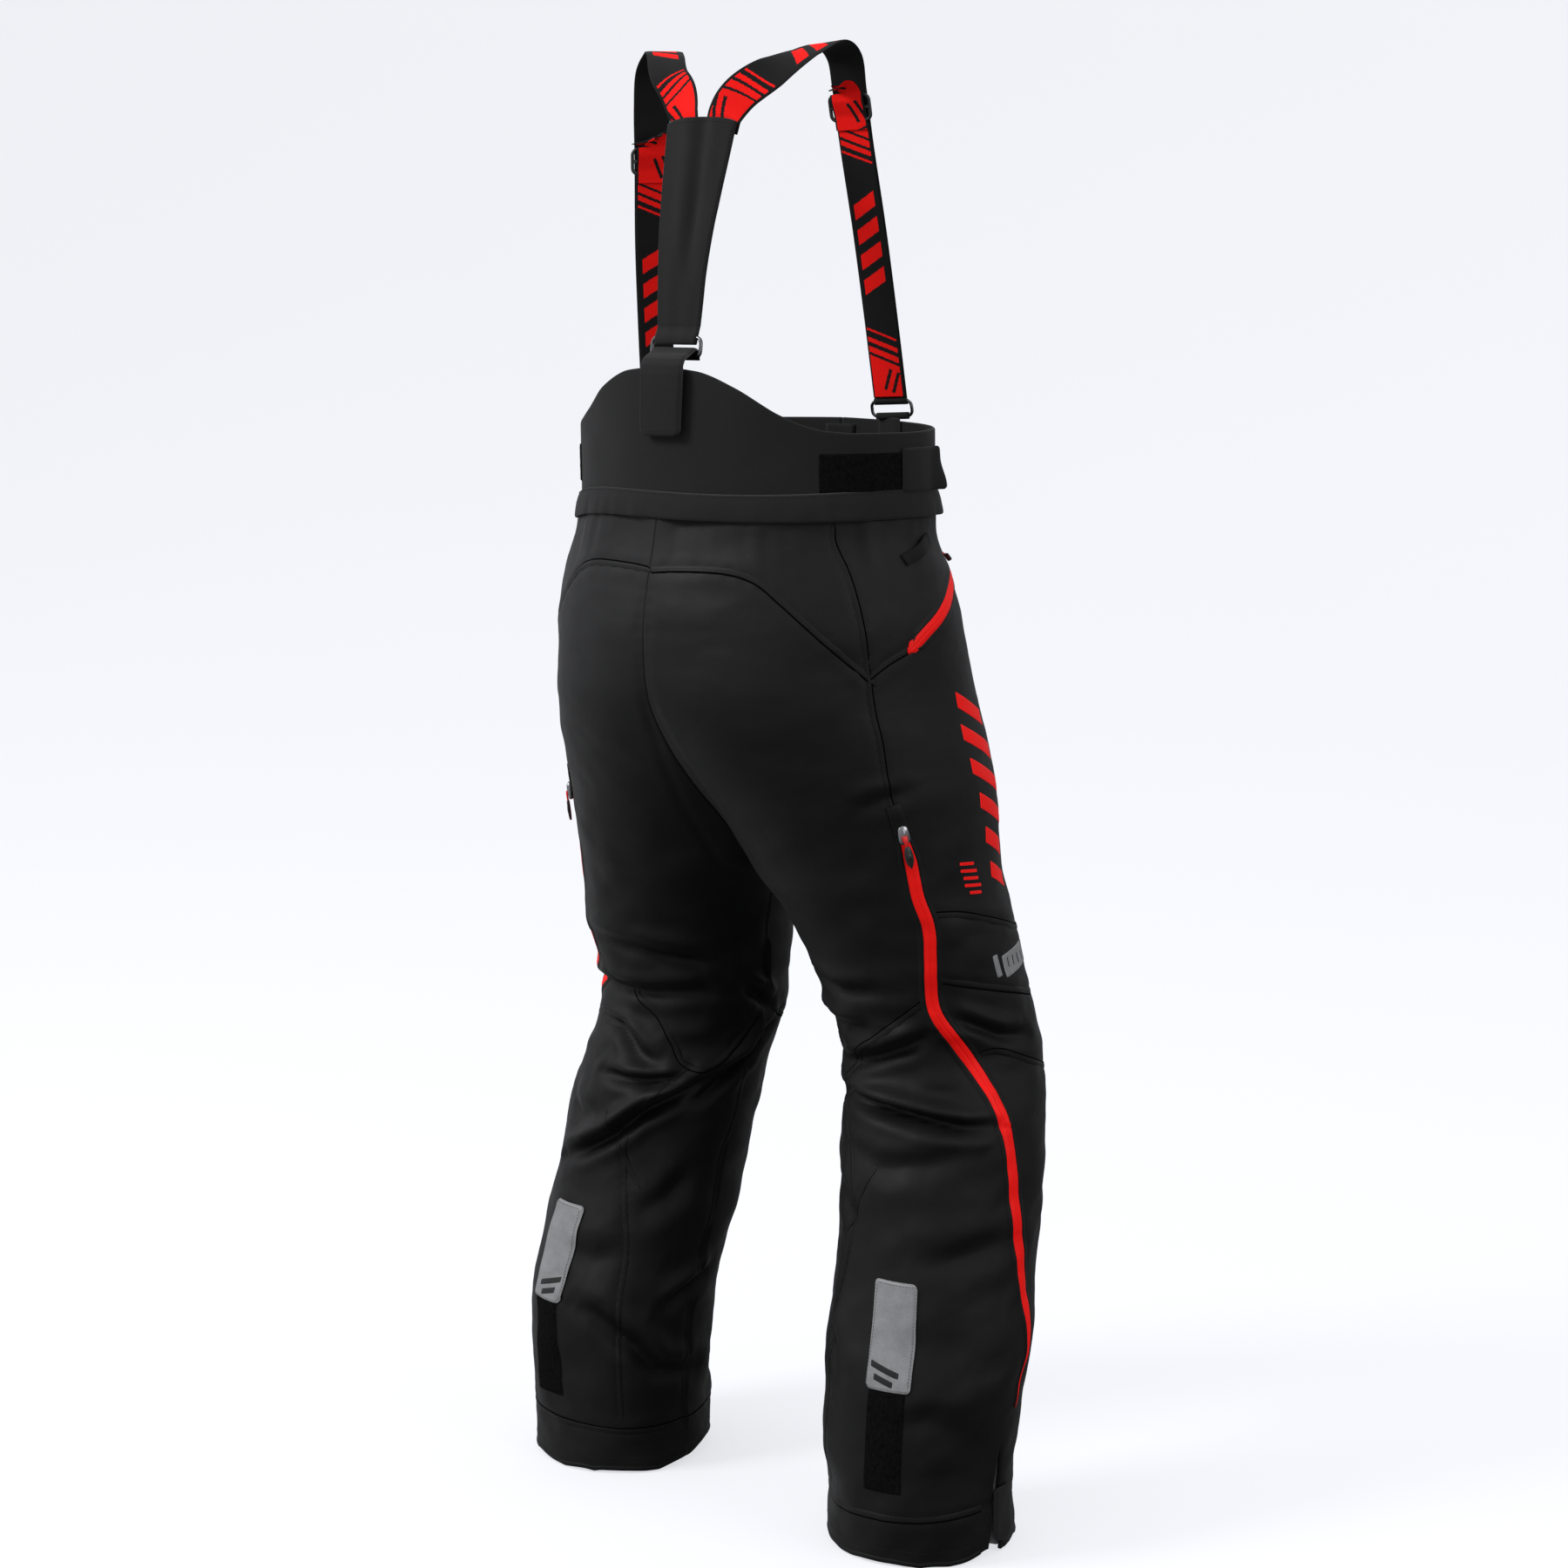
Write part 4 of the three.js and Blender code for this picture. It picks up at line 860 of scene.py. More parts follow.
SIGN = [1]
for word, side in SIDES:
    body = lambda a, b, o, side=side: S(side, a, b, o)
    leg = "lower_leg_" + word
    # silver tab at the calf: cloth, its binding and its stitches
    cz, cp, W, H = 249, 167.0 if side < 0 else 168.0, 51, 110
    v, f, par = patch(body, (cz, cp), W, H, 6, 2.2, lift=1.6, nu=22, nv=44, lean=0.02)
    put("calf_tab_cloth_" + word, v, f, M_SILVER, body="calf_tab_" + word, replaces=["calf_tab_" + word], slot="reflective_cloth", uv=par * [W, H])
    thr = Bag()
    tf = lambda a, b, o, body=body: body(a, b, o + 3.75)
    one = 1.87
    ring = [(cz + H / 2 - 3, cp - (W / 2 - 3) / one), (cz - H / 2 + 6, cp - (W / 2 - 3) / one - 0.02 * H / 2), (cz - H / 2 + 3, cp - (W / 2 - 6) / one - 0.02 * H / 2), (cz - H / 2 + 3, cp + (W / 2 - 6) / one - 0.02 * H / 2), (cz - H / 2 + 6, cp + (W / 2 - 3) / one), (cz + H / 2 - 3, cp + (W / 2 - 3) / one)]
    for a, b in zip(ring[:-1], ring[1:]):
        stitches(thr, tf, [a, b], spline=False)
    stitches(thr, tf, [ring[0], ring[-1]], spline=False)
    thr.put("calf_tab_stitching_" + word, M_SEW, body="calf_tab_" + word, slot="reflective_cloth")
    # a plain pair of slanted bars near the tab's lower end
    bag = Bag()
    for k, wd in ((0, 34), (1, 23)):
        v, f, par = patch(tf, (cz - 33 - k * 11, cp + 1.5), wd, 6.4, 0.6, 0.35, lift=0.05, nu=10, nv=4, skew=0.28)
        bag.add(v, f)
    bag.put("calf_tab_bars_" + word, M_TRIM, body="calf_tab_" + word, slot="black_plastic")
    # loop strip under it
    v, f, par = patch(body, (142, 166.5), 44, 118, 1.5, 1.4, lift=0.1, nu=34, nv=90)
    jag = noise(par[:, 0] * 40, par[:, 1] * 110, 9)[:, None] * 0.35
    nrm = S(side, 142, 166, 10.0) - S(side, 142, 166, 0.0)
    put("calf_loop_strip_" + word, v + jag * nrm / np.linalg.norm(nrm), f, M_LOOP, body=leg, slot="softshell", uv=par * [44, 118])
    # knee: silver strip with slots
    bag = Bag()
    for c0_, wd in ((92.5, 9), (72, 62), (46, 9)):
        v, f, par = patch(body, (628, c0_), wd, 24, 0.8, 0.7, lift=0.2, nu=24, nv=10, skew=-0.10)
        bag.add(v, f, par * [wd, 24])
    bag.put("knee_reflector_" + word, M_SILVER, blend=leg, slot="reflective_cloth")
    bag = Bag()
    for k in range(4):
        v, f, par = patch(body, (628, 62 + k * 6.4), 2.6, 11, 0.4, 0.3, lift=0.95, nu=3, nv=5, skew=-0.10)
        bag.add(v, f)
    bag.put("knee_reflector_slots_" + word, M_TRIM, blend=leg, slot="black_plastic")
    # thigh: slanted red bars
    bag = Bag()
    for k in range(6):
        zc = 900 - k * 36
        wd = (64, 74, 74, 66, 56, 44)[k]
        pc = 74 - k * 1.2
        v, f, par = patch(body, (zc, pc), wd, 17, 0.5, 0.35, lift=0.12, nu=28, nv=8, skew=0.42)
        bag.add(v, f, par * [wd, 17])
    for k in range(5):
        v, f, par = patch(body, (742 - k * 8.0, 96 - k * 0.8), (24, 27, 24, 27, 20)[k], 3.4, 0.3, 0.3, lift=0.12, nu=10, nv=3, skew=0.1)
        bag.add(v, f, par * [24, 3.4])
    bag.put("thigh_bars_" + word, M_FILM, blend=leg, slot="red_tape")
    # cuff tab; its press stud is not built here
    v, f, par = patch(body, (43, 83.0), 33, 64, 6, 2.4, lift=2.0, nu=14, nv=24)
    put("cuff_tab_cloth_" + word, v, f, M_SOFT, body="cuff_tab_" + word, replaces=["cuff_tab_" + word], slot="softshell", uv=par * [33, 64])
    # gaiter: gathered grey tube inside the hem
    def gf(u, v, k, side=side):
        z = 52 + 138 * v
        psi = 360 * u - 90
        gather = 2.0 * noise(u * 34, v * 0.9, 21) * (1 - v) ** 1.2
        o = -8.2 - 7 * (1 - v) + gather * 0.6 - (1.1 if k else 0)
        return S(side, z, psi, o, cloth=False)
    v, f, par = closed_sheet(gf, 150, 26, ring=True)
    put("gaiter_cloth_" + word, v, f, M_GREY, body=leg, replaces=["gaiter_" + word], slot="lining", uv=par * [600, 138])
    # wedge of grey cloth behind the slit
    def wf(u, v, k, side=side):
        z = 4 + 124 * v
        w = 15 * (1 - v) + 4
        return S(side, z, 89 + (2 * u - 1) * w / 1.78, -3.6 - 3.5 * np.sin(np.pi * u) * (1 - v) - 0.8 * k)
    v, f, par = closed_sheet(wf, 10, 30)
    put("hem_gusset_" + word, v, f, M_GREY, body=leg, slot="lining", uv=par * [38, 124])

# waist loop patches and tabs
for word, side in SIDES:
    cf = lambda a, b, o: C(a, b, o)
    v, f, par = patch(cf, (1152, side * 113), 94, 40, 2, 1.3, lift=0.1, nu=70, nv=36)
    jag = noise(par[:, 0] * 80, par[:, 1] * 40, 13)[:, None] * 0.3
    nrm = C(1152, side * 113, 10.0) - C(1152, side * 113, 0.0)
    put("waist_loop_" + word, v + jag * nrm / np.linalg.norm(nrm), f, M_LOOP, replaces=["waist_loop_patch_" + word], slot="softshell", uv=par * [86, 40])

    def tf(u, v, k, side=side):
        x, y, e = rounded(u, v, 84, 45, 4)
        b = side * (85.5 - x / 3.45)
        curl = (5.0 + 7.0 * smooth(-y, -10, 20)) * smooth(x, 14, 42) ** 1.6
        return C(1154 + y, b, 2.6 + curl + (2.3 * (1 - np.exp(-np.maximum(e, 0) / 0.7)) if k == 0 else 0) + 0.4 * noise(u * 3, v * 2, 3))
    v, f, par = closed_sheet(tf, 30, 18)
    put("waist_tab_cloth_" + word, v, f, M_SOFT, body="waist_tab_" + word, replaces=["waist_tab_" + word], slot="softshell", uv=par * [84, 45])

# ------------------------------------------------------------------ rear brace: tab and yoke
TAB_LINE = np.array([(131.2, 1264.5), (131.0, 1270.0), (132.6, 1274.0), (136.2, 1275.0), (141.0, 1272.6), (148.0, 1269.6), (156.0, 1267.4), (163.0, 1264.6), (168.2, 1259.5), (170.4, 1251.0), (171.0, 1238.0), (171.3, 1220.0), (171.5, 1202.0), (171.6, 1188.0)])


def rear_tab(u, v, k):
    ln = np.concatenate([[0], np.cumsum(np.linalg.norm(np.diff(TAB_LINE, axis=0), axis=1))])
    total_ = ln[-1]
    d = v * total_
    yb, zb_ = np.interp(d, ln, TAB_LINE[:, 0]), np.interp(d, ln, TAB_LINE[:, 1])
    y2, z2 = np.interp(d + 1.5, ln, TAB_LINE[:, 0]), np.interp(d + 1.5, ln, TAB_LINE[:, 1])
    y1, z1_ = np.interp(d - 1.5, ln, TAB_LINE[:, 0]), np.interp(d - 1.5, ln, TAB_LINE[:, 1])
    ty, tz = y2 - y1, z2 - z1_
    tl = np.maximum(np.hypot(ty, tz), 1e-6)
    ny, nz = -tz / tl, ty / tl
    half = 29.0 - 2.0 * v
    left = total_ - d
    r_ = 9.0
    kk = np.clip(r_ - left, 0, r_)
    half = half - (r_ - np.sqrt(np.maximum(r_ * r_ - kk * kk, 0)))
    s_ = 2 * u - 1
    x = s_ * half - 9.0 * smooth(d, 12, 60) + 0.5 * np.sin(d / 14)
    e = np.minimum(half - np.abs(s_) * half, left)
    top = 2.9 * (1 - np.exp(-np.maximum(e, 0) / 0.8))
    curve = (RB + 8) * (np.sqrt(np.maximum(0, 1 - (x / RA) ** 2)) - 1) * smooth(d, 20, 60)
    o = top if k == 0 else 0.0
    return np.stack([x, yb + curve + ny * o, zb_ + nz * o], -1)


v, f, par = closed_sheet(rear_tab, 26, 90)
put("rear_tab_cloth", v, f, M_SOFT, body="rear_tab", replaces=["rear_tab"], slot="softshell", uv=par * [57, 120])
thr = Bag()


def tabpt(a, b, o):
    a, b, o = np.broadcast_arrays(np.asarray(a, float), np.asarray(b, float), np.asarray(o, float))
    q_ = rear_tab(b, a, 0)
    return q_ + np.stack([o * 0, o * 0 + 0.05 + o, o * 0], -1)


for row in ([(0.45, 0.07), (0.93, 0.08)], [(0.45, 0.93), (0.93, 0.92)], [(0.955, 0.14), (0.955, 0.86)]):
    q0, q1 = np.array(row, float)
    n_ = int(np.hypot((q1[0] - q0[0]) * 122, (q1[1] - q0[1]) * 56) / 3.6)
    for i in range(n_):
        A, B_ = [tabpt(*(q0 + (q1 - q0) * t_ / n_), 0.0) for t_ in (i, i + 0.72)]
        D = (B_ - A) / 2
        N_ = np.array([0, 1.0, 0.05])
        Bv = np.cross(N_, D / max(np.linalg.norm(D), 1e-6))
        thr.add((A + B_) / 2 + STITCH[:, 0:1] * D + STITCH[:, 1:2] * 0.42 * Bv + STITCH[:, 2:3] * 0.4 * N_, STITCH_F)
thr.put("rear_tab_stitching", M_THREAD, body="rear_tab", slot="softshell")


def yoke_line(v):
    return 131.5 + (92.5 - 131.5) * v + 5 * np.sin(np.pi * v) + 4.0 * (1 - smooth(v, 0.02, 0.09)), 1280.5 + (1509 - 1280.5) * v


def yoke(u, v, k):
    s = 2 * u - 1
    y, z = yoke_line(v)
    half = 28 + (47.5 - 28) * v ** 1.15
    crease = -5.0 * np.exp(-((s + 0.35 - 0.25 * v) / 0.22) ** 2) * smooth(v, 0.25, 0.6) + 2.4 * np.exp(-((s - 0.15) / 0.3) ** 2) * smooth(v, 0.2, 0.7)
    e = np.minimum(1 - np.abs(s), 1.0) * half
    edge = (2.0 + 1.5 * (1 - smooth(v, 0.035, 0.075))) * (1 - np.exp(-np.maximum(e, 0) / 1.0)) * np.clip((v + 0.004) / 0.014, 0, 1) ** 0.5
    sign = 1 if k == 0 else -1
    return np.stack([s * half + 4 * v + 1.2 * np.sin(v * 5), y - 4 * s * s * v + crease + 0.6 * noise(s * 2.5, v * 6, 31) + sign * (0.25 + edge), z + 4 * (1 - s * s) * smooth(v, 0.9, 1.0) - 3.0 * np.abs(s) ** 6 * smooth(v, 0.97, 1.0)], -1)


v, f, par = closed_sheet(yoke, 44, 150)
put("brace_yoke_cloth", v, f, M_SOFT, replaces=["brace_yoke"], slot="softshell", uv=par * [90, 220])
thr = Bag()
# stitch rows of the yoke: along both edges and across the fold above the ring
def yf(a, b, o):
    v, u = (np.asarray(a, float) - 1280.5) / 228.5, np.asarray(b, float)
    v, u, o = np.broadcast_arrays(v, u, np.asarray(o, float))
    p = yoke(u, v, 0)
    p[..., 1] += o
    return p
for row in ([(1301, 0.05), (1301, 0.95)], [(1296, 0.05), (1500, 0.035)], [(1296, 0.95), (1500, 0.965)], [(1505, 0.05), (1505, 0.95)]):
    p = np.array(row, float)
    n_ = int(np.hypot(p[1, 0] - p[0, 0], (p[1, 1] - p[0, 1]) * 80) / 3.6)
    for i in range(n_):
        q = p[0] + (p[1] - p[0]) * i / n_
        q2 = p[0] + (p[1] - p[0]) * (i + 0.72) / n_
        A, B_ = yf(q[0], q[1], 0.1), yf(q2[0], q2[1], 0.1)
        D = (B_ - A) / 2
        N = np.array([0, 1.0, 0.1])
        Bv = np.cross(N, D / max(np.linalg.norm(D), 1e-6))
        thr.add((A + B_) / 2 + STITCH[:, 0:1] * D + STITCH[:, 1:2] * 0.42 * Bv + STITCH[:, 2:3] * 0.45 * N, STITCH_F)
thr.put("yoke_stitching", M_THREAD, slot="softshell")

# ------------------------------------------------------------------ shoulder straps
STRAP = {
    "right": dict(side=-1, adjust=270,
        path=[[-22, 86.5, 1499], [-27, 86, 1516], [-42, 80, 1536], [-66, 58, 1558], [-80, 22, 1578], [-84, -16, 1589], [-80, -44, 1577], [-76, -58, 1545], [-75, -72, 1490], [-76, -94, 1400], [-77, -113, 1310], [-78, -130.7, 1219]],
        width=[[0.99, 0.08, 0.0], [0.97, 0.2, 0.1], [0.88, 0.46, 0.12], [0.83, 0.55, 0.0], [0.9, 0.42, -0.1], [0.96, 0.27, -0.12], [0.97, 0.24, -0.1], [0.98, 0.2, 0], [0.985, 0.17, 0], [0.985, 0.17, 0], [0.985, 0.17, 0], [0.985, 0.17, 0]]),
    "left": dict(side=1, adjust=315,
        path=[[29, 86, 1499], [31, 85, 1516], [42, 80, 1538], [62, 72, 1558], [95, 40, 1582], [128, 8, 1585], [152, -6, 1566], [160, -12, 1530], [163, -16, 1475], [172, -26, 1390], [180, -38, 1310], [186, -49.5, 1221]],
        width=[[0.99, -0.1, 0.0], [0.99, -0.06, 0.0], [0.88, 0.36, -0.35], [0.72, 0.66, -0.2], [0.66, 0.75, 0.0], [0.62, 0.78, 0.0], [0.6, 0.8, 0.05], [0.6, 0.8, 0], [0.6, 0.8, 0], [0.6, 0.8, 0], [0.55, 0.83, 0], [0.5, 0.86, 0]]),
}


def catmull(points, per=60):
    """The same centripetal curve the CAD straps follow, as dense points and index parameters."""
    p = np.array(points, float)
    out, par = [], []
    for i in range(len(p) - 1):
        p1, p2 = p[i], p[i + 1]
        p0 = p[i - 1] if i else 2 * p[0] - p[1]
        p3 = p[i + 2] if i + 2 < len(p) else 2 * p[-1] - p[-2]
        d0, d1, d2 = [max(np.sum((b - a) ** 2) ** 0.25, 1e-4) for a, b in ((p0, p1), (p1, p2), (p2, p3))]
        t1 = ((p1 - p0) / d0 - (p2 - p0) / (d0 + d1) + (p2 - p1) / d1) * d1
        t2 = ((p2 - p1) / d1 - (p3 - p1) / (d1 + d2) + (p3 - p2) / d2) * d1
        t = np.linspace(0, 1, per, endpoint=False)[:, None]
        out.append(p1 + t1 * t + (-3*p1 + 3*p2 - 2*t1 - t2) * t**2 + (2*p1 - 2*p2 + t1 + t2) * t**3)
        par.append(i + t[:, 0])
    return np.concatenate(out + [p[-1:]]), np.concatenate(par + [[len(p) - 1]])


def run(points, widths, start=0.0, end=None, step=1.0):
    """Stations every step mm: point, width direction, normal, distance along."""
    P, q = catmull(points)
    cum = np.concatenate([[0], np.cumsum(np.linalg.norm(np.diff(P, axis=0), axis=1))])
    end = cum[-1] if end is None else min(end, cum[-1])
    at = np.linspace(start, end, max(2, int(round((end - start) / step)) + 1))
    X = np.stack([np.interp(at, cum, P[:, k]) for k in range(3)], -1)
    D = np.gradient(X, axis=0)
    D /= np.linalg.norm(D, axis=1, keepdims=True)
    w = np.array(widths, float)
    s = np.interp(at, cum, q) / (len(points) - 1) * (len(w) - 1)
    i = np.clip(s.astype(int), 0, len(w) - 2)
    W = w[i] / np.linalg.norm(w[i], axis=1, keepdims=True) * (1 - (s - i))[:, None] + w[i + 1] / np.linalg.norm(w[i + 1], axis=1, keepdims=True) * (s - i)[:, None]
    W -= D * np.sum(W * D, axis=1, keepdims=True)
    W /= np.linalg.norm(W, axis=1, keepdims=True)
    return X, W, np.cross(D, W), at, cum[-1]


def web_pattern(u, v, period=332.0):
    """True where the weave shows red. u across in mm from the middle, v along in mm."""
    v = np.mod(v, period)
    red = np.zeros(np.broadcast(u, v).shape, bool)
    inside = np.abs(u) < 17.5
    s = v + 0.42 * u
    block = (s < 42) | (s > 288)
    slash = (np.abs(u + 3 - 0.35 * (np.where(s < 42, s, s - 330))) < 1.8) & (np.abs(np.where(s < 42, s - 22, s - 308)) < 13)
    slash |= (np.abs(u - 6 - 0.35 * (np.where(s < 42, s, s - 330))) < 1.8) & (np.abs(np.where(s < 42, s - 22, s - 308)) < 13)
    red |= block & ~slash
    red |= ((s > 45) & (s < 52.5)) | ((s > 56) & (s < 61.5)) | ((s > 67) & (s < 69.5))
    red |= ((s > 278) & (s < 284.5)) | ((s > 268) & (s < 273)) | ((s > 258) & (s < 260.5))
    k = np.mod(v - 0.55 * u - 112, 27)
    mid = (v - 0.55 * u > 112) & (v - 0.55 * u < 220) & (np.abs(u) < 13)
    red |= mid & (k < 16)
    return red & inside


def webbing(name, X, W, N, at, width, thick, outside=1, pattern="out", phase=0.0, body=ROOT, replaces=(), flip_v=False, blend=None):
    """Flat webbing. outside says which side of N carries the pattern."""
    cells = int(width)
    b = np.linspace(-width / 2, width / 2, cells + 1)
    crown = 1 - (np.abs(b) / (width / 2)) ** 8
    h = thick / 2
    top = X[:, None] + W[:, None] * b[None, :, None] + N[:, None] * (outside * (h * (0.35 + 0.65 * crown)))[None, :, None]
    bot = X[:, None] + W[:, None] * b[None, :, None] - N[:, None] * (outside * (h * (0.35 + 0.65 * crown)))[None, :, None]
    rib = 0.10 * np.sin(at * 2 * math.pi / 2.2)[:, None, None]
    top = top + N[:, None] * outside * rib
    n, m = len(at), cells + 1
    F1 = grid_faces(n, m)
    F2 = grid_faces(n, m, flip=True) + n * m
    e0 = np.arange(n) * m
    e1 = e0 + m - 1
    F3 = np.stack([e0[:-1], e0[1:], e0[1:] + n * m, e0[:-1] + n * m], -1)
    F4 = np.stack([e1[:-1], e1[:-1] + n * m, e1[1:] + n * m, e1[1:]], -1)
    a0 = np.arange(m)
    F5 = np.stack([a0[:-1], a0[:-1] + n * m, a0[1:] + n * m, a0[1:]], -1)
    a1 = a0 + (n - 1) * m
    F6 = np.stack([a1[:-1], a1[1:], a1[1:] + n * m, a1[:-1] + n * m], -1)
    F = np.concatenate([F1, F2, F3, F4, F5, F6])
    verts = np.concatenate([top.reshape(-1, 3), bot.reshape(-1, 3)])
    cu, cv = (b[:-1] + b[1:]) / 2, (at[:-1] + at[1:]) / 2
    uu, vv = np.meshgrid(cu, cv)
    red = web_pattern(-uu if flip_v else uu, (-vv if flip_v else vv) + phase).ravel()
    fm = np.zeros(len(F), int)
    fm[: len(F1)] = red
    if not outward(verts, F):
        F = F[:, ::-1]
    ub, vb = np.meshgrid(b, at)
    uv = np.tile(np.stack([ub, vb], -1).reshape(-1, 2), (2, 1))
    return put(name, verts, F, M_WEB, body=body, replaces=replaces, slot="webbing", uv=uv, mats=[M_WEB, M_REDW], fmat=fm, blend=blend)


def tube_ring(w, h, r, rad, p, nrm, up, bars=(), seg=10):
    """A rounded rectangular ring of round wire, with cross bars at the given heights."""
    nrm = np.asarray(nrm, float) / np.linalg.norm(nrm)
    up = np.asarray(up, float) - nrm * np.dot(up, nrm)
    up /= np.linalg.norm(up)
    ac = np.cross(up, nrm)
    W2, H2 = w / 2 - rad, h / 2 - rad
    q = []
    for cx_, cy_, a0 in ((W2 - r, H2 - r, 0), (-W2 + r, H2 - r, 90), (-W2 + r, -H2 + r, 180), (W2 - r, -H2 + r, 270)):
        for a in np.linspace(0, 90, 7):
            t = math.radians(a0 + a)
            q.append((cx_ + r * math.cos(t), cy_ + r * math.sin(t), math.cos(t), math.sin(t)))
    q = np.array(q)
    bag = Bag()
    ph = np.linspace(0, 2 * math.pi, seg, endpoint=False)
    ctr = q[:, 0:1] * ac + q[:, 1:2] * up
    out_ = q[:, 2:3] * ac + q[:, 3:4] * up
    V = np.asarray(p, float) + ctr[:, None] + rad * (np.cos(ph)[None, :, None] * out_[:, None] + np.sin(ph)[None, :, None] * nrm)
    F = grid_faces(len(q), seg, True, True)
    bag.add(V, F if outward(V, F) else F[:, ::-1])
    for y in bars:
        xs_ = np.linspace(-W2, W2, 6)
        V = np.asarray(p, float) + (xs_[:, None] * ac + y * up)[:, None] + rad * 0.95 * (np.cos(ph)[None, :, None] * up + np.sin(ph)[None, :, None] * nrm)
        F = grid_faces(6, seg, True)
        fs = F.tolist() + [list(range(seg))[::-1], [5 * seg + i for i in range(seg)]]
        if not outward(V, F):
            fs = [f_[::-1] for f_ in fs]
        bag.add(V, fs)
    return bag


def plate_solid(bag, outline, t, p, nrm, up, bevel=0.6, mat=0, dome=0.0):
    """A bevelled plate with the given outline (across, along), lying on its back face."""
    nrm = np.asarray(nrm, float) / np.linalg.norm(nrm)
    up = np.asarray(up, float) - nrm * np.dot(up, nrm)
    up /= np.linalg.norm(up)
    ac = np.cross(up, nrm)
    o = np.array(outline, float)
    # round the outline's corners
    for _ in range(2):
        a, b = o, np.roll(o, -1, 0)
        o = np.stack([a * 0.75 + b * 0.25, a * 0.25 + b * 0.75], 1).reshape(-1, 2)
    c = o.mean(0)
    n_ = len(o)

    def inset(k):
        d = o - c
        return c + d * (1 - k / np.maximum(np.linalg.norm(d, axis=1, keepdims=True), k + 0.2))
    rings_ = [(inset(bevel), 0), (o, bevel), (o, t - bevel), (inset(bevel), t)]
    if dome:
        rings_.append((inset(bevel * 3), t + dome))
    V = np.concatenate([np.asarray(p, float) + q[:, 0:1] * ac + q[:, 1:2] * up + z_ * nrm for q, z_ in rings_])
    F = grid_faces(len(rings_), n_, True)
    fs = F.tolist() + [list(range(n_))[::-1], [(len(rings_) - 1) * n_ + i for i in range(n_)]]
    if not outward(V, F):
        fs = [f_[::-1] for f_ in fs]
    bag.add(V, fs, mat=mat)


def wrap(bag, p, nrm, up, rad, width, thick, a0, a1, mat=0):
    """Cloth turned round a bar: an arc in the plane of up and nrm, a0..a1 degrees from nrm towards up."""
    nrm = np.asarray(nrm, float) / np.linalg.norm(nrm)
    up = np.asarray(up, float) - nrm * np.dot(up, nrm)
    up /= np.linalg.norm(up)
    ac = np.cross(up, nrm)

    def fn(u, v, k):
        a = np.radians(a0 + (a1 - a0) * v)[..., None]
        r_ = rad + (0 if k else thick)
        return np.asarray(p, float) + ((u - 0.5) * width)[..., None] * ac + r_ * (np.cos(a) * nrm + np.sin(a) * up)
    v_, f_, par_ = closed_sheet(fn, 10, 14)
    bag.add(v_, f_, par_ * [width, 20], mat=mat)


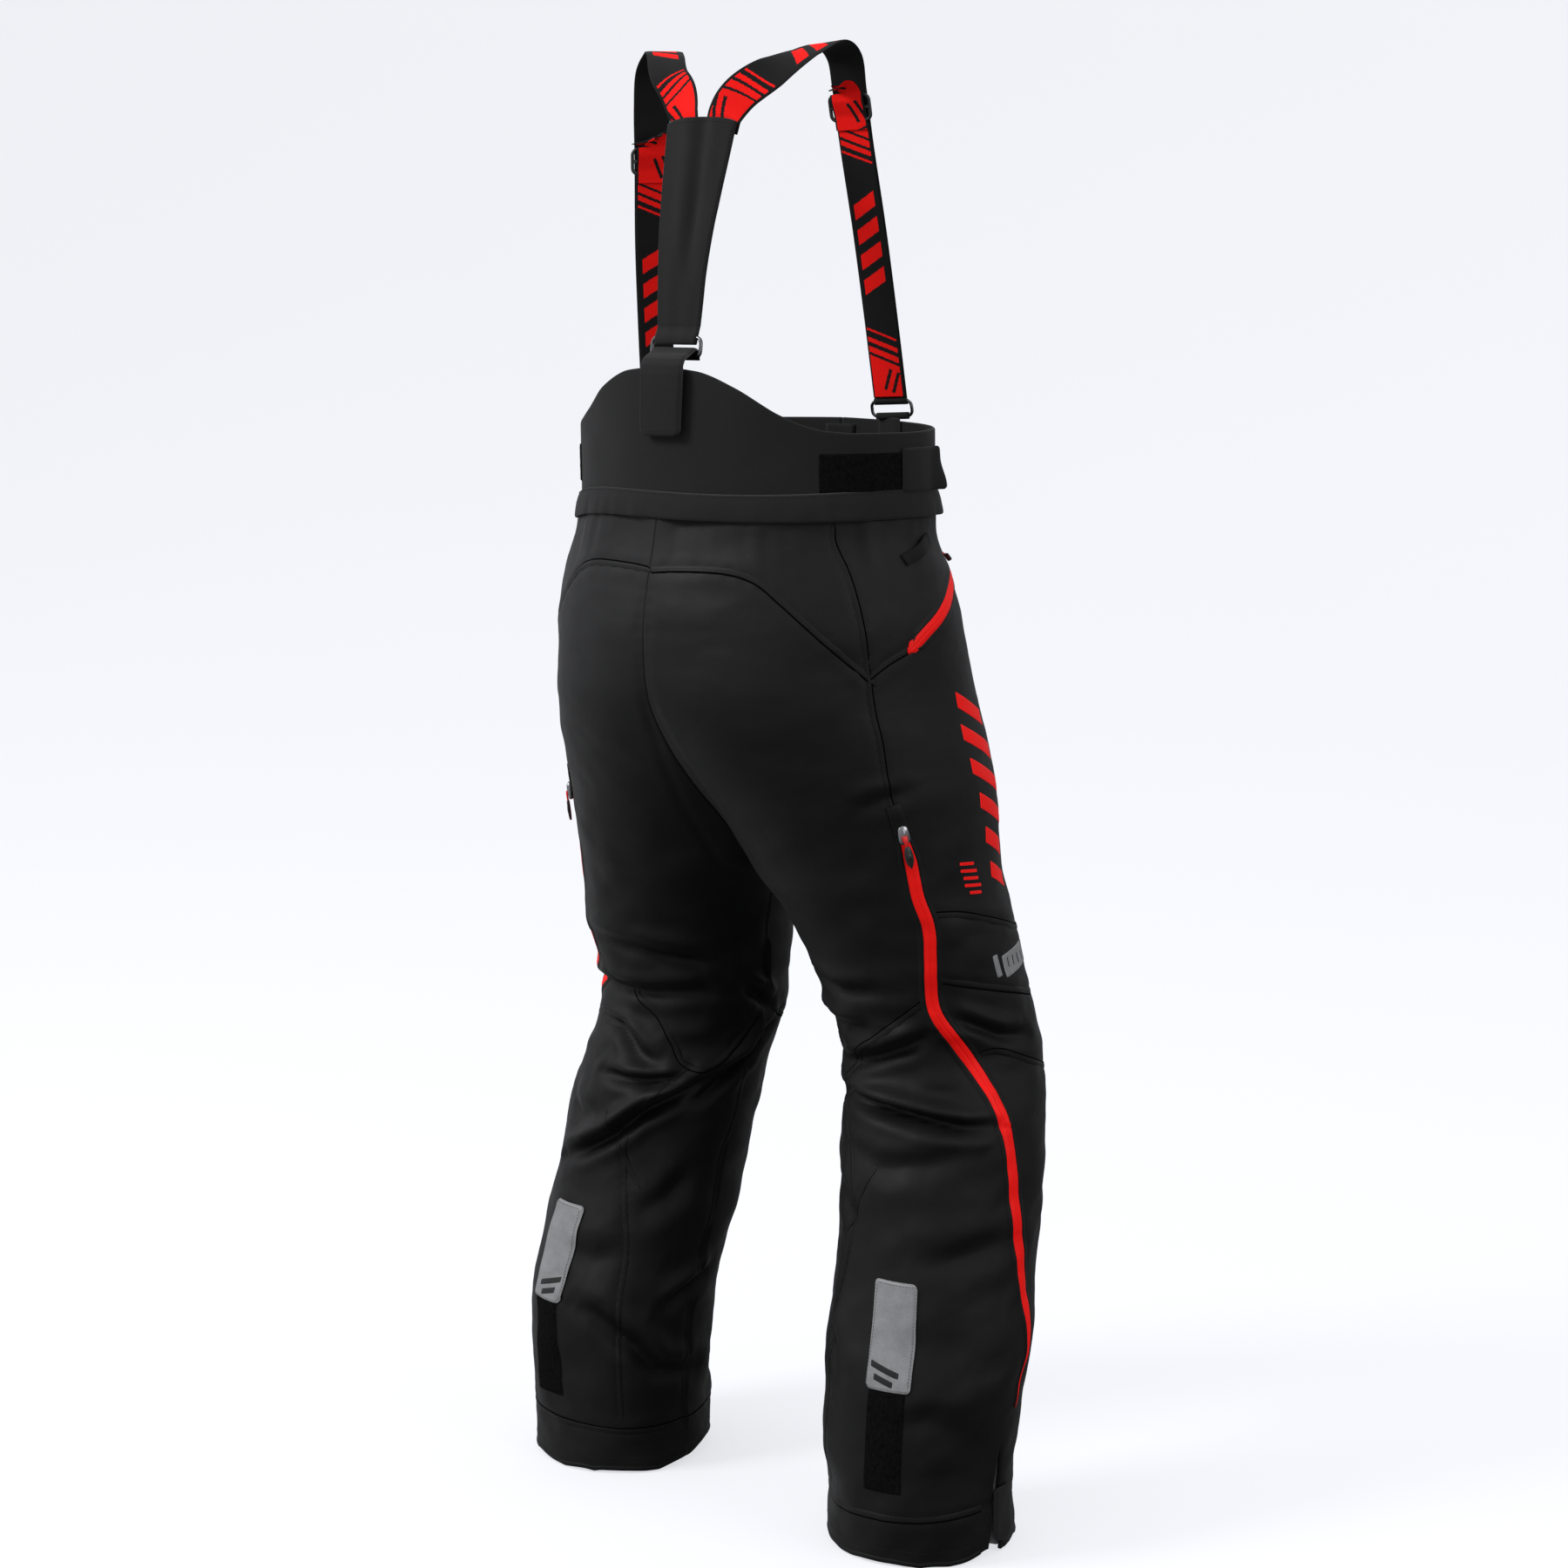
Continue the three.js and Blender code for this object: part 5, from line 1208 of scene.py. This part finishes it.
for word, side in SIDES:
    st = STRAP[word]
    X, W, N, at, total = run(st["path"], st["width"], 0.0, None, 1.0)
    # the pattern is on the side away from the wearer: up over the shoulder, forward on the chest
    out = 1 if N[int(len(at) * 0.30)][2] > 0 else -1
    webbing("strap_web_" + word, X, W, N, at, 40, 2.2, outside=out, phase=0.0, replaces=["strap_" + word])
    Xr, Wr, Nr, atr, _ = run(st["path"], st["width"], st["adjust"], total - 3, 1.0)
    sign = 1 if Nr[len(Nr) // 3][1] > 0 else -1
    ph0 = 328 - (total - 3) if side < 0 else -285.0
    webbing("strap_return_web_" + word, Xr + Nr * sign * 2.7, Wr, Nr, atr, 38, 1.8, outside=sign, phase=ph0, replaces=["strap_return_" + word])
    # the slide, its middle bar, and the strap's turned end over it
    Xa, Wa, Na, ata, _ = run(st["path"], st["width"], st["adjust"] - 17, st["adjust"] - 15, 1.0)
    nout, upd = Na[0] * sign, np.cross(Wa[0], Na[0])
    upd = upd if upd[2] > 0 else -upd
    ctr = Xa[0] + nout * 4.2
    tube_ring(50, 30, 6, 1.9, ctr, nout, upd, bars=(0.0,), seg=10).put("adjuster_plate_" + word, M_PLASTIC, body="adjuster_" + word, replaces=["adjuster_" + word], slot="black_plastic")
    ws = Wa[0] if np.dot(Wa[0], [0.778, 0.628, 0]) > 0 else -Wa[0]
    # t runs from the lower end, over the slide, to the loose end
    t = np.arange(0.0, 76.0, 1.0)
    along = np.interp(t, [0, 26, 46, 60, 75], [-24, 2, 17, 24, 22])
    lift = np.interp(t, [0, 16, 26, 34, 46, 56, 66, 75], [5.0, 5.4, 8.2, 9.6, 8.6, 10.5, 15.0, 16.5]) - 4.2
    swing = 11.0 * smooth(t, 42, 75) ** 1.6
    k = np.exp(-np.linspace(-2, 2, 11) ** 2)
    k /= k.sum()
    sm = lambda a: np.convolve(np.pad(a, 5, "edge"), k, "valid")
    along, lift, swing = sm(along), sm(lift), sm(swing)
    Xf = ctr + along[:, None] * upd + lift[:, None] * nout + swing[:, None] * ws
    tilt = (0.85 * smooth(t, 46, 75))[:, None]
    Wf = ws - upd * tilt * 0.6 - nout * tilt * 0.35
    Df = np.gradient(Xf, axis=0)
    Df /= np.linalg.norm(Df, axis=1, keepdims=True)
    Wf = Wf - Df * np.sum(Wf * Df, axis=1, keepdims=True)
    Wf /= np.linalg.norm(Wf, axis=1, keepdims=True)
    Nf = np.cross(Df, Wf)
    webbing("strap_end_" + word, Xf, Wf, Nf, t, 38, 1.8, outside=1 if np.dot(Nf[10], nout) > 0 else -1, phase=st["adjust"] + 7 + ph0, body="adjuster_" + word, flip_v=True)
    # ring at the collar, with the webbing turned round it
    end, dirn = X[-1], X[-1] - X[-4]
    dirn = dirn / np.linalg.norm(dirn)
    ringat = end + dirn * 10.5
    rn, ru = N[-1] * sign, -dirn
    tube_ring(52, 20, 6, 1.75, ringat, rn, ru).put("front_ring_wire_" + word, M_METAL, body="front_ring_" + word, replaces=["front_ring_" + word], slot="ring_metal")
    bag = Bag()
    wrap(bag, ringat + ru * 8.2, rn, ru, 2.2, 39, 1.7, 100, -200)
    bag.put("strap_turn_" + word, M_WEB, slot="webbing")
    # tab inside the collar, turned round the ring's lower bar
    deg0, half_w = (68, 7.25) if side > 0 else (-22, 5.75)
    def tabf(u, v, k, deg0=deg0, half_w=half_w):
        x, y, e = rounded(u, v, 2 * half_w, 78, 2.0)
        b = C(1160 + y, deg0 + x, -4.4 - (2.3 * (1 - np.exp(-np.maximum(e, 0) / 0.5)) if k == 0 else 0))
        return b
    v, f, par = closed_sheet(tabf, 12, 26)
    put("front_tab_cloth_" + word, v, f, M_SOFT, body="front_tab_" + word, replaces=["front_tab_" + word], slot="softshell", uv=par * [40, 78])
    bag = Bag()
    wrap(bag, ringat - ru * 8.2, rn, ru, 2.2, 38, 1.8, 260, -40)
    bag.put("front_tab_turn_" + word, M_SOFT, body="front_tab_" + word, slot="softshell")

tube_ring(70, 24, 6.5, 2.0, (0, 134.5, 1278), (0, 1, 0.12), (0, 0, 1)).put("rear_ring_wire", M_METAL, body="rear_ring", replaces=["rear_ring"], slot="ring_metal")

# ------------------------------------------------------------------ sliders and pulls
BODY = [(-4.4, 10.5), (4.4, 10.5), (6.2, 2), (6.0, -10), (-6.0, -10), (-6.2, 2)]
BRIDGE = [(-1.7, 7.5), (1.7, 7.5), (1.9, -6), (-1.9, -6)]


def slider(word, which, p, n, upz, scale, body_name, pull_name, red=True):
    sc_ = lambda pts: [(a * scale, b * scale) for a, b in pts]
    p, n = np.asarray(p, float), np.asarray(n, float) / np.linalg.norm(n)
    upz = np.asarray(upz, float) / np.linalg.norm(upz)
    bag = Bag()
    plate_solid(bag, sc_(BODY), 4.2, p - n * 2.3, n, upz, 0.9)
    plate_solid(bag, sc_(BRIDGE), 1.8, p + n * 1.6, n, upz, 0.5)
    plate_solid(bag, sc_([(-3.4, 1.5), (3.4, 1.5), (3.2, -8), (-3.2, -8)]), 0.5, p + n * 1.75, n, upz, 0.15, mat=1)
    bag.put(body_name + "_body", M_GUN, body=body_name, replaces=[body_name], slot="slider_metal", mats=[M_STEEL, M_REDPL])


def pull(c, n, upz, length, body_name, red=True):
    c, n = np.asarray(c, float), np.asarray(n, float) / np.linalg.norm(n)
    upz = np.asarray(upz, float) / np.linalg.norm(upz)
    h = length / 2
    bag = Bag()
    # link through the slider, then a black tongue with a pointed end
    plate_solid(bag, [(-2.4, h), (2.4, h), (2.1, h - 13), (-2.1, h - 13)], 1.8, c - n * 1.2, n, upz, 0.5, mat=1 if red else 0)
    plate_solid(bag, [(-2.3, h - 11), (2.3, h - 11), (4.4, h - 18), (4.7, -h + 8), (0.6, -h), (-0.6, -h), (-4.7, -h + 8), (-4.4, h - 18)], 2.6, c - n * 1.5, n, upz, 0.7)
    plate_solid(bag, [(-2.1, h - 19), (2.1, h - 19), (2.6, -h + 9), (-2.6, -h + 9)], 0.7, c + n * 1.0, n, upz, 0.25)
    bag.put(body_name + "_tongue", M_PLASTIC, body=body_name, replaces=[body_name], slot="black_plastic", mats=[M_PLASTIC, M_REDPL])


def surf_normal(side, z, deg):
    p = S(side, z, deg, 0.0, cloth=False)
    a, b = S(side, z, deg + 0.5, 0.0, cloth=False) - p, S(side, z + 2, deg, 0.0, cloth=False) - p
    n_ = np.cross(a, b)
    n_ /= np.linalg.norm(n_)
    return -n_ if np.dot(n_, S(side, z, deg, 10.0, cloth=False) - p) < 0 else n_


for word, side in SIDES:
    q = lambda z, d, o=0.0: S(side, z, d, o, cloth=False)
    zd = q(750, 125) - q(640, 131)
    zd = zd / np.linalg.norm(zd)
    n_ = surf_normal(side, 772, 125)
    p_ = q(776, 125, 5.2)
    slider(word, "vent", p_ - n_ * 0.6 + zd * 4, n_, zd, 1.0, "vent_slider_" + word, None)
    pull(p_ + n_ * 3.2 - zd * 14, n_, zd, 36, "vent_pull_" + word)
    pd_ = q(1058, 37) - q(1050, 49.5)
    pd_ = pd_ / np.linalg.norm(pd_)
    n_ = surf_normal(side, 1055, 43)
    p_ = q(1055, 42.5, 4.6)
    slider(word, "pocket", p_ - n_ * 0.4, n_, pd_, 0.88, "pocket_slider_" + word, None)
    pull(p_ + n_ * 3.4 - pd_ * 10, n_, pd_, 28, "pocket_pull_" + word)

# ------------------------------------------------------------------ camera, light, floor
PHI, CD, CH, TAU, FPX, X0 = math.radians(38.891), 3400.0, 1343.6, math.radians(9.013), 3627.3, -28.6
sp, cp_ = math.sin(PHI), math.cos(PHI)
right = Vector((-cp_, -sp, 0))
loc = Vector((-CD * sp, CD * cp_ + SHY, CH)) + right * (-X0 / FPX * CD)
fwd = Vector((sp * math.cos(TAU), -cp_ * math.cos(TAU), -math.sin(TAU)))
cam = bpy.data.objects.new("camera", bpy.data.cameras.new("camera"))
bpy.context.scene.collection.objects.link(cam)
cam.data.sensor_width = 36.0
cam.data.lens = FPX / 1800 * 36.0
cam.location = loc * MM
cam.rotation_mode = "QUATERNION"
cam.rotation_quaternion = fwd.to_track_quat("-Z", "Y")
cam.data.clip_start, cam.data.clip_end = 0.05, 200
bpy.context.scene.camera = cam

sc = bpy.context.scene
sc.view_settings.view_transform = "Standard"
sc.view_settings.look = "None"
sc.view_settings.exposure = 0.0
sc.view_settings.gamma = 1.0
world = bpy.data.worlds.new("studio")
sc.world = world
world.use_nodes = True
wt = world.node_tree
bg = wt.nodes["Background"]
bg.inputs[0].default_value = (0.955, 0.965, 1.0, 1)
dirv = node(wt, "ShaderNodeTexCoord").outputs["Generated"]
d3 = node(wt, "ShaderNodeSeparateXYZ", {0: dirv})
# brighter overhead and towards the wearer's left, dim below
tone = math_n(wt, "ADD", math_n(wt, "MULTIPLY", d3.outputs[2], 0.75), math_n(wt, "ADD", math_n(wt, "MULTIPLY", d3.outputs[0], 0.34), math_n(wt, "MULTIPLY", d3.outputs[1], 0.28)))
wt.links.new(node(wt, "ShaderNodeMapRange", {"Value": tone, "From Min": -0.75, "From Max": 1.0, "To Min": 0.10, "To Max": 1.15}).outputs[0], bg.inputs[1])


def area(name, where, target, size, power, size_y=None):
    d = bpy.data.lights.new(name, "AREA")
    d.energy = power
    d.shape = "RECTANGLE"
    d.size, d.size_y = size, size_y or size
    o = bpy.data.objects.new(name, d)
    bpy.context.scene.collection.objects.link(o)
    o.location = where
    o.rotation_mode = "QUATERNION"
    o.rotation_quaternion = (Vector(target) - Vector(where)).to_track_quat("-Z", "Y")
    return o


area("key", (1.7, 2.5, 3.3), (0, 0, 0.9), 1.1, 92)
area("side", (-3.4, -0.2, 1.9), (0, 0, 0.8), 1.8, 34)

fm = bpy.data.meshes.new("floor")
n = 96
xs = np.linspace(-14, 14, n)
gx, gy = np.meshgrid(xs, xs)
rr = np.hypot(gx, gy)
gz = np.where(rr > 8, (rr - 8) ** 2 * 0.25, 0) - 0.0005
fm.from_pydata(np.stack([gx, gy, gz], -1).reshape(-1, 3).tolist(), [], grid_faces(n, n).tolist())
fm.polygons.foreach_set("use_smooth", np.full(len(fm.polygons), True))
floor = bpy.data.objects.new("floor", fm)
bpy.context.scene.collection.objects.link(floor)
m, nt, bs = material("floor_paint")
tc = node(nt, "ShaderNodeTexCoord").outputs["Object"]
nz = node(nt, "ShaderNodeTexNoise", {"Vector": tc, "Scale": 0.6, "Detail": 2.0}).outputs[0]
cr = node(nt, "ShaderNodeMapRange", {"Value": nz, "From Min": 0.3, "From Max": 0.7, "To Min": 0.985, "To Max": 1.0}).outputs[0]
tt = node(nt, "ShaderNodeVectorMath", {0: (0.30, 0.306, 0.32), "Scale": cr}, operation="SCALE").outputs[0]
nt.links.new(tt, bs.inputs["Base Color"])
bs.inputs["Emission Color"].default_value = (0.955, 0.965, 1.0, 1)
bs.inputs["Emission Strength"].default_value = 0.70
bs.inputs["Roughness"].default_value = 0.9
bs.inputs["Specular IOR Level"].default_value = 0.1
fm.materials.append(m)
floor.visible_diffuse = False
floor.visible_glossy = False
floor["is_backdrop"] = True

# plain finishes for the carried-over CAD hardware
for nme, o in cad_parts.items():
    if o.hide_render:
        continue
    mt = M_METAL if "ring" in nme or "snap" in nme else M_GUN if "slider" in nme else M_PLASTIC if ("pull" in nme or "adjuster" in nme) else M_SOFT
    o.data.materials.clear()
    o.data.materials.append(mt)

lo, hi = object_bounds()
